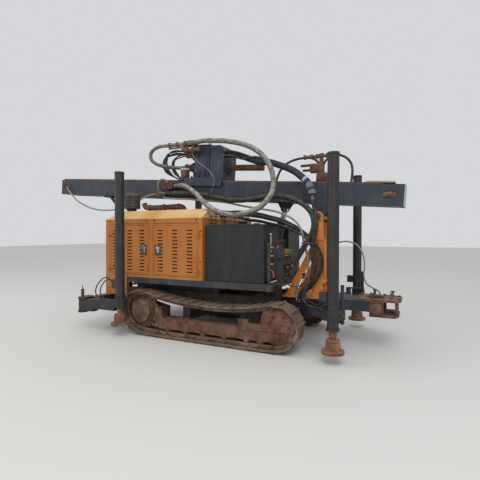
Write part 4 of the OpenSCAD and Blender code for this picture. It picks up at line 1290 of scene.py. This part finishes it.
@dataclass
class HoodTrim(Assembly):
    """The hood's seams, screws, vents, exhaust pipe, door lips and latches."""

    back: float = -1.199
    front: float = 0.470
    half: float = 0.80
    eave_z: float = 1.626
    roof_z: float = 1.753
    slope_w: float = 0.18
    seam_x: float = -0.362
    exhaust_y: float = -0.10
    exhaust_z: float = 1.838
    exhaust_r: float = 0.042
    lip_inset: float = 0.022
    lip_z: tuple[float, float] = (0.862, 1.533)

    def build(self) -> None:
        """Build each group of the hood's small pieces."""
        self.seams()
        self.screws()
        self.vents()
        self.exhaust()
        self.doors()

    def seams(self) -> None:
        """Fold three strips over the roof and run a bead along each eave."""
        fold = self.half - self.slope_w
        arch = [(self.half, self.eave_z), (fold, self.roof_z), (0.0, self.roof_z), (-fold, self.roof_z),
                (-self.half, self.eave_z)]
        places = (self.seam_x - 0.022, self.seam_x + 0.022, self.front - 0.012)
        parts = [self.strip(arch, x) for x in places]
        for s in Side:
            eave = [(x, s.value * self.half, self.eave_z) for x in (self.back, self.seam_x, self.front)]
            parts.append(tube(np.array(eave), 0.0055, 8))
        self.fit("roof_seams", parts, "roof")

    def strip(self, profile: list[tuple[float, float]], x: float) -> Surface:
        """Fold a flat strip 16 mm wide and 3 mm proud over the roof, across it at x."""
        line = np.array(profile)
        under = line - [0, 0.01]
        over = np.stack([line[:, 0] * (1 + 0.0035 / self.half), line[:, 1] + 0.003], -1)
        corners = ((0.008, under), (0.008, over), (-0.008, over), (-0.008, under))
        ring = [np.stack([np.full(len(line), x + dx), edge[:, 0], edge[:, 1]], -1) for dx, edge in corners]
        return closed_grid(np.stack(ring, 1))

    def screws(self) -> None:
        """Drive domed screws into the bands round the doors."""
        dome = [(0.014, 0.0), (0.013, 0.004), (0.009, 0.008), (0.003, 0.0095)]
        spots = ((-1.11, 1.60), (-0.44, 1.60), (-0.30, 1.60), (0.38, 1.60), (0.44, 1.05), (0.44, 1.45))
        wall = self.half - 0.0005
        screws = [revolved(dome, (x, s.value * wall, z), (0, s.value, 0), 10) for s in Side for x, z in spots]
        self.fit("hood_screws", screws, "dark")

    def vents(self) -> None:
        """Set small vents in rows on the front wall, fewer where the roof slopes in over the eaves."""
        vents = []
        for y in (-0.56, -0.44, -0.16, 0.16, 0.44, 0.56):
            for z in (1.56, 1.60, 1.65, 1.685, 1.72):
                if z < self.eave_z or abs(y) < 0.6 - (z - self.eave_z) * 0.9:
                    low = (self.front - 0.002, y - 0.042, z - 0.008)
                    high = (self.front + 0.002, y + 0.042, z + 0.008)
                    vents.append(rounded_slab(low, high, 0.0018))
        self.fit("front_vents", vents, "dark")

    def exhaust(self) -> None:
        """Lay the rusty exhaust pipe along the roof on two saddles, its outlet turned up at the rear."""
        y, z, r = self.exhaust_y, self.exhaust_z, self.exhaust_r
        bend = [(-0.28, y, 1.752), (-0.28, y, 1.79), (-0.30, y, 1.822), (-0.34, y, z), (-0.60, y, z),
                (-0.90, y, z), (-1.00, y, z + 0.004), (-1.04, y, z + 0.03), (-1.055, y, z + 0.075)]
        collar = [(r - 0.004, -0.014), (r + 0.010, -0.012), (r + 0.010, 0.012), (r - 0.004, 0.014)]
        parts = [tube(smooth_line(bend, 0.02), r, 24)]
        parts += [revolved(collar, (x, y, z), ALONG, 24) for x in (-0.38, -0.66, -0.94)]
        for x in (-0.46, -0.84):
            parts.append(rounded_slab((x - 0.02, y - 0.06, 1.751), (x + 0.02, y + 0.06, 1.806), 0.004))
        self.fit("exhaust_pipe", parts, "rust")

    def doors(self) -> None:
        """Press a raised border into each door and give it a chromed paddle and a keyhole."""
        # each row: X of a door's two edges and of its latch, and its near and far bodies
        rows = ((-1.118, -0.398, -0.483, (Body.REAR_DOOR_NEAR, Body.REAR_DOOR_FAR)),
                (-0.326, 0.405, -0.241, (Body.FRONT_DOOR_NEAR, Body.FRONT_DOOR_FAR)))
        keyhole = [(0.009, 0.0), (0.011, 0.002), (0.011, 0.010), (0.004, 0.012)]
        for start, end, latch, bodies in rows:
            lips = self.door_lips(start + self.lip_inset, end - self.lip_inset)
            paddle = [rounded_slab((latch - 0.026, -0.8135, 1.150), (latch + 0.026, -0.8025, 1.232), 0.005),
                      rounded_slab((latch - 0.034, -0.8125, 1.205), (latch + 0.034, -0.8055, 1.236), 0.003),
                      revolved(keyhole, (latch, -0.810, 1.245), (0, -1, 0), 14)]
            for side, body in zip(Side, bodies):
                for name, near, finish in (("lips", lips, "hood"), ("paddle", paddle, "chrome")):
                    parts = [mirrored(s) for s in near] if side is Side.FAR else near
                    self.fit(f"{body.value}_{name}", parts, finish, body)

    def door_lips(self, start: float, end: float) -> list[Surface]:
        """Give the four bars of a near door's border: its two uprights, its sill and its top."""
        foot, top = self.lip_z
        bars = (((start, foot), (start, top)), ((end, foot), (end, top)),
                ((start, foot), (end, foot)), ((start, top), (end, top)))
        return [tube(np.array([(x, -self.half, z) for x, z in bar]), 0.004, 6) for bar in bars]


@dataclass
class TankTrim(Assembly):
    """The side tanks' lids, base angles, filler caps and sight gauge."""

    back: float = 0.502
    front: float = 1.311
    inner: float = 0.21
    outer: float = 0.76
    top: float = 1.525
    base: float = 0.80

    def build(self) -> None:
        """Build the trim of the near tank, mirror it, and add the near one's gauge."""
        x0, x1, y0, y1 = self.back, self.front, -self.outer, -self.inner
        z, base = self.top, self.base
        lid = rounded_slab((x0 - 0.004, y0 - 0.005, z - 0.014), (x1 + 0.004, y1 + 0.004, z + 0.004), 0.003)
        lip = rounded_slab((x0 + 0.02, y0 + 0.02, z), (x1 - 0.02, y1 - 0.02, z + 0.009), 0.004)
        low, high = (x0 - 0.003, y0 - 0.012, base - 0.002), (x1 + 0.012, y0 + 0.002, base + 0.045)
        foot = rounded_slab(low, high, 0.004)
        near = [lid, lip, foot]
        self.fit("tank_lids", near + [mirrored(s) for s in near], "tank")
        cap = [(0.062, 0.0), (0.066, 0.006), (0.066, 0.018), (0.058, 0.022), (0.058, 0.034), (0.064, 0.036),
               (0.064, 0.052), (0.058, 0.058), (0.020, 0.061)]
        caps = [revolved(cap, (x, y, z), UP, 28) for x, y in ((0.90, -0.485), (0.70, 0.485))]
        self.fit("filler_caps", caps, "dark")
        glass = tube(np.array([(1.322, -0.544, level) for level in (1.20, 1.30, 1.40)]), 0.0085, 12)
        ends = [rounded_slab((1.309, -0.560, level - 0.014), (1.333, -0.528, level + 0.014), 0.004)
                for level in (1.19, 1.41)]
        self.fit("sight_gauge", [glass] + ends, "pale")


@dataclass
class TrackTrim(Assembly):
    """The link plates, pin ends and shoe bolts of both chains, set along the chain's pin line.

    The idler and the sprocket are given by their X, their Z and the radius of the pin line round them.
    """

    shoes: int = 37
    track_y: float = 0.75
    link_y: float = 0.0762
    idler: tuple[float, float, float] = (1.5, 0.303, 0.246)
    sprocket: tuple[float, float, float] = (-0.517, 0.335, 0.261)
    sag: float = 0.118
    lowest: float = 0.45
    shoe_out: float = 0.039

    def build(self) -> None:
        """Build one shoe's set of small pieces, repeat it round the chain and mirror it to the far track."""
        pin_end = [(0.025, 0.0), (0.025, 0.006), (0.021, 0.0085), (0.012, 0.0085), (0.011, 0.0095),
                   (0.002, 0.0095)]
        link = [rounded_slab((-0.012, -0.006, -0.020), (0.094, 0.0, 0.026), 0.003)]
        link += [revolved(pin_end, (a, 0, 0), (0, -1, 0), 12) for a in (0.0, 0.078)]
        outer = [moved(part, (0, -self.link_y, 0)) for part in link]
        links = outer + [mirrored(part) for part in outer]
        bolt = [(0.011, 0.0), (0.0125, 0.001), (0.0125, 0.009), (0.009, 0.011), (0.002, 0.0115)]
        bolts = [revolved(bolt, (a, y, self.shoe_out), UP, 6)
                 for a in (0.045, 0.100) for y in (-0.062, 0.062)]
        for name, parts, finish in (("chain_links", links, "track"), ("shoe_bolts", bolts, "rust")):
            near = [moved(self.round_chain(part), (0, -self.track_y, 0)) for part in parts]
            self.fit(name, near + [mirrored(part) for part in near], finish, smooth=name == "chain_links")

    def pin_line(self) -> np.ndarray:
        """Give the pins' places: round the idler, back over the sagging top, round the sprocket, and along.

        The top run hangs below its chord by sag * (1 - (1 - k) ** 2), where k rises from 0 at its ends to 1
        at the lowest point.

        Returns:
            X and Z of each pin, with the first one again at the end.
        """
        up = np.radians(np.linspace(-90, 90, 21))
        arcs = [np.stack([x + turn * r * np.cos(up), z + turn * r * np.sin(up)], -1)
                for (x, z, r), turn in ((self.idler, 1.0), (self.sprocket, -1.0))]
        t = np.arange(1, 16) / 16
        k = np.where(t < self.lowest, t / self.lowest, (1 - t) / (1 - self.lowest))
        top = arcs[0][-1] + (arcs[1][0] - arcs[0][-1]) * t[:, None]
        top[:, 1] -= self.sag * (1 - (1 - k) ** 2)
        # the chain comes down from the sprocket to the ground 0.33 m in front of its axle
        ground = np.array([[self.sprocket[0] + 0.33, arcs[0][0, 1]]])
        line = np.concatenate([arcs[0], top, arcs[1], ground, arcs[0][:1]])
        s = distance_along(line)
        at = np.arange(self.shoes + 1) * s[-1] / self.shoes
        return np.stack([np.interp(at, s, line[:, 0]), np.interp(at, s, line[:, 1])], -1)

    def round_chain(self, surface: Surface) -> Surface:
        """Repeat a surface drawn along, across and out from a pin at every shoe, turned to face its run."""
        pins = self.pin_line()
        along = np.diff(pins, axis=0)
        along /= np.linalg.norm(along, axis=1)[:, None]
        a, y, o = surface[0].T
        x = pins[:-1, :1] + along[:, :1] * a + along[:, 1:] * o
        z = pins[:-1, 1:] + along[:, 1:] * a - along[:, :1] * o
        points = np.stack([x, np.broadcast_to(y, x.shape), z], -1).reshape(-1, 3)
        # the run's frame is left-handed, so the faces are turned to keep their normals outwards
        faces = [[i + n * len(a) for i in face[::-1]] for n in range(self.shoes) for face in surface[1]]
        return points, faces


@dataclass
class RigTrim(Assembly):
    """Small pieces of the valve bank, the air cleaner, the mast's support, the rod table and the legs."""

    nipple: tuple[tuple[float, float], ...] = (
        (0.016, 0.0), (0.016, 0.012), (0.011, 0.014), (0.011, 0.030), (0.014, 0.032), (0.014, 0.040),
    )
    riser_y: float = -0.768
    cleaner_foot: Point = (-1.0, -0.45, 1.753)
    pivot_x: float = 1.86
    pivot_z: float = 1.635
    table_top: float = 0.62
    jaw_x: float = 2.56
    leg_r: float = 0.0635

    def build(self) -> None:
        """Build each group."""
        self.valves()
        self.riser()
        self.air_cleaner()
        self.support()
        self.table()
        self.legs()

    def valves(self) -> None:
        """Set five valve sections side by side, with nipples on their fronts and tops."""
        nipples = [revolved(self.nipple, (1.520, y, z), ALONG, 6)
                   for y in (-0.58, -0.545, -0.50, -0.42) for z in (1.15, 1.18, 1.205)]
        nipples += [revolved(self.nipple, (1.43, y, 1.23), UP, 6) for y in np.linspace(-0.59, -0.41, 5)]
        self.fit("valve_nipples", nipples, "brass")
        sections = [rounded_slab((1.396, y - 0.018, 1.125), (1.524, y + 0.018, 1.226), 0.005)
                    for y in np.linspace(-0.60, -0.40, 5)]
        self.fit("valve_sections", sections, "dark")

    def riser(self) -> None:
        """Stand a riser pipe at the tank's outer edge, with three taps and a red shut-off handle."""
        y = self.riser_y
        pipe = smooth_line([(1.385, y, z) for z in (0.80, 1.0, 1.30)], 0.03)
        self.fit("riser_pipe", [tube(pipe, 0.020, 14)], "dark")
        taps = [revolved(self.nipple, (1.403, y, z), ALONG, 6) for z in (1.05, 1.15, 1.25)]
        self.fit("riser_taps", taps, "brass")
        bend = [(1.405, y, 0.98), (1.43, -0.77, 0.965), (1.445, -0.775, 0.93), (1.447, -0.778, 0.89)]
        grip = smooth_line(bend, 0.006)
        self.fit("shut_off_handle", [tube(grip, np.linspace(0.008, 0.014, len(grip)), 10)], "red")

    def air_cleaner(self) -> None:
        """Cap the air cleaner with its rain hood, band its can and stand it on its foot."""
        foot = [(0.085, -0.001), (0.085, 0.012), (0.064, 0.016), (0.064, 0.052)]
        bands = [[(0.1185, z - 0.012), (0.1215, z - 0.010), (0.1215, z + 0.010), (0.1185, z + 0.012)]
                 for z in (0.09, 0.18)]
        lid = [(0.119, 0.222), (0.130, 0.226), (0.130, 0.236), (0.124, 0.246), (0.100, 0.272), (0.066, 0.292),
               (0.020, 0.298)]
        parts = [revolved(profile, self.cleaner_foot, UP, 32) for profile in (foot, *bands, lid)]
        self.fit("air_cleaner_bands", parts, "dark")

    def support(self) -> None:
        """Add pin caps, edge straps, a washer round the pivot and a pipe stub to the mast's support."""
        x, z = self.pivot_x, self.pivot_z
        cap = [(0.046, 0.0), (0.046, 0.008), (0.034, 0.013), (0.034, 0.020), (0.012, 0.023)]
        caps = [revolved(cap, (x, s.value * 0.3205, z), (0, s.value, 0), 24) for s in Side]
        self.fit("pivot_caps", caps, "rust")
        washer = [(0.058, 0.0), (0.062, 0.002), (0.062, 0.008), (0.056, 0.010)]
        near = [rounded_slab((1.779, -0.312, 1.335), (1.949, -0.299, 1.352), 0.004),
                rounded_slab((1.938, -0.318, 0.88), (1.952, -0.262, 1.345), 0.004),
                revolved(washer, (x, -0.2995, z), (0, -1, 0), 28)]
        self.fit("support_straps", near + [mirrored(s) for s in near], "support")
        stub = smooth_line([(1.79, y, 1.30) for y in (-0.30, -0.305, -0.308)], 0.004)
        self.fit("ring_stub", [tube(stub, 0.012, 10)], "rust")

    def table(self) -> None:
        """Bolt the rod table's plates and add the jaw cylinders' collars, caps and ports."""
        head = [(0.014, 0.0), (0.017, 0.002), (0.017, 0.014), (0.012, 0.017)]
        spots = ((2.34, 0.20), (2.34, 0.08), (2.62, 0.20), (2.80, 0.13))
        parts = [revolved(head, (x, s.value * y, self.table_top), UP, 6) for x, y in spots for s in Side]
        collar = [(0.064, 0.0), (0.070, 0.002), (0.070, 0.016), (0.064, 0.018), (0.064, 0.030),
                  (0.072, 0.033), (0.072, 0.052), (0.064, 0.055), (0.064, 0.092), (0.070, 0.094),
                  (0.070, 0.104), (0.030, 0.108)]
        parts += [revolved(collar, (self.jaw_x, s.value * 0.236, 0.515), (0, s.value, 0), 28) for s in Side]
        port = [(0.016, 0.0), (0.016, 0.02), (0.011, 0.022), (0.011, 0.034)]
        parts += [revolved(port, (self.jaw_x, s.value * y, 0.575), UP, 6)
                  for s in Side for y in (0.262, 0.318)]
        self.fit("table_fittings", parts, "rust")

    def legs(self) -> None:
        """Cap each leg tube with a lip, and clamp the collars of the front ones with bolts and a lug."""
        r = self.leg_r
        lip = [(r - 0.002, -0.026), (r + 0.004, -0.024), (r + 0.004, -0.004), (r - 0.004, 0.002)]
        # each row: the machine's end, then X, distance from the middle and top of its two tubes
        rows = (("rear", -0.716, 1.03, 2.265, (Body.REAR_ARM_NEAR, Body.REAR_ARM_FAR)),
                ("front", 2.174, 0.90, 2.293, (Body.FRONT_ARM_NEAR, Body.FRONT_ARM_FAR)))
        for end, x, half, top, bodies in rows:
            for side, body in zip(Side, bodies):
                y = side.value * half
                parts = [revolved(lip, (x, y, top), UP, 32)]
                if end == "front":
                    parts += self.collar_clamp(x, y, side.value)
                self.fit(f"leg_cap_{end}_{side.name.lower()}", parts, "leg", body)

    def collar_clamp(self, x: float, y: float, side: int) -> list[Surface]:
        """Give the four clamp bolts of a front leg's collar, on its outer side, and the lug before it."""
        bolt = [(0.010, 0.0), (0.012, 0.001), (0.012, 0.012), (0.009, 0.014)]
        bolts = [revolved(bolt, (x + dx, y + side * 0.066, z), (0, side, 0), 6)
                 for dx in (-0.03, 0.03) for z in (0.50, 0.565)]
        return bolts + [rounded_slab((x + 0.055, y - 0.02, 0.50), (x + 0.105, y + 0.02, 0.54), 0.004)]


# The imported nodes


@dataclass
class Dressing:
    """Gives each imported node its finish."""

    frame: dict
    palette: Palette
    groups: dict[str, tuple[str, ...]] = field(
        default_factory=lambda: {
            "frame": ("main_rails", "cross_beams"),
            "dark": ("deck_frame", "power_pack", "valve_bank", "air_cleaner", "raise_barrel"),
            "track": ("rollers", "drive_sprockets", "track_near", "track_far"),
            "track_frame": ("track_frames",),
            "hood": ("hood_frame", "door_near_rear", "door_near_front", "door_far_rear", "door_far_front"),
            "roof": ("hood_roof",),
            "tank": ("oil_tank", "fuel_tank"),
            "support": ("mast_support",),
            "mast": ("mast_beam", "mast_rest", "nose_beam"),
            "head": ("head_carriage", "head_gearbox"),
            "rust": ("rod_table", "hose_rings", "mast_rails", "feed_sprockets", "mast_brackets",
                     "head_motors", "drill_spindle"),
            "chrome": ("raise_rod",),
            "leg": ("outrigger_rear_near", "outrigger_rear_far", "outrigger_front_near",
                    "outrigger_front_far"),
            "foot": ("foot_rear_near", "foot_rear_far", "foot_front_near", "foot_front_far"),
        }
    )

    def build(self) -> None:
        """Set one material on each node."""
        for key, names in self.groups.items():
            for name in names:
                obj = self.frame["nodes"][name]
                obj.data.materials.clear()
                obj.data.materials.append(self.palette.get(key))
                LOG.info("%s: %s", name, key)


def main() -> None:
    """Load the frame, set the studio, lay the hoses, build the trim and dress the nodes."""
    logging.basicConfig(level=logging.INFO, format="%(name)s %(message)s")
    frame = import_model()
    palette = Palette()
    Studio().build()
    for assembly in (HoseSet, HeadTrim, MastTrim, HoodTrim, TankTrim, TrackTrim, RigTrim):
        assembly(palette).build()
    Dressing(frame, palette).build()


if __name__ == "__main__":
    main()
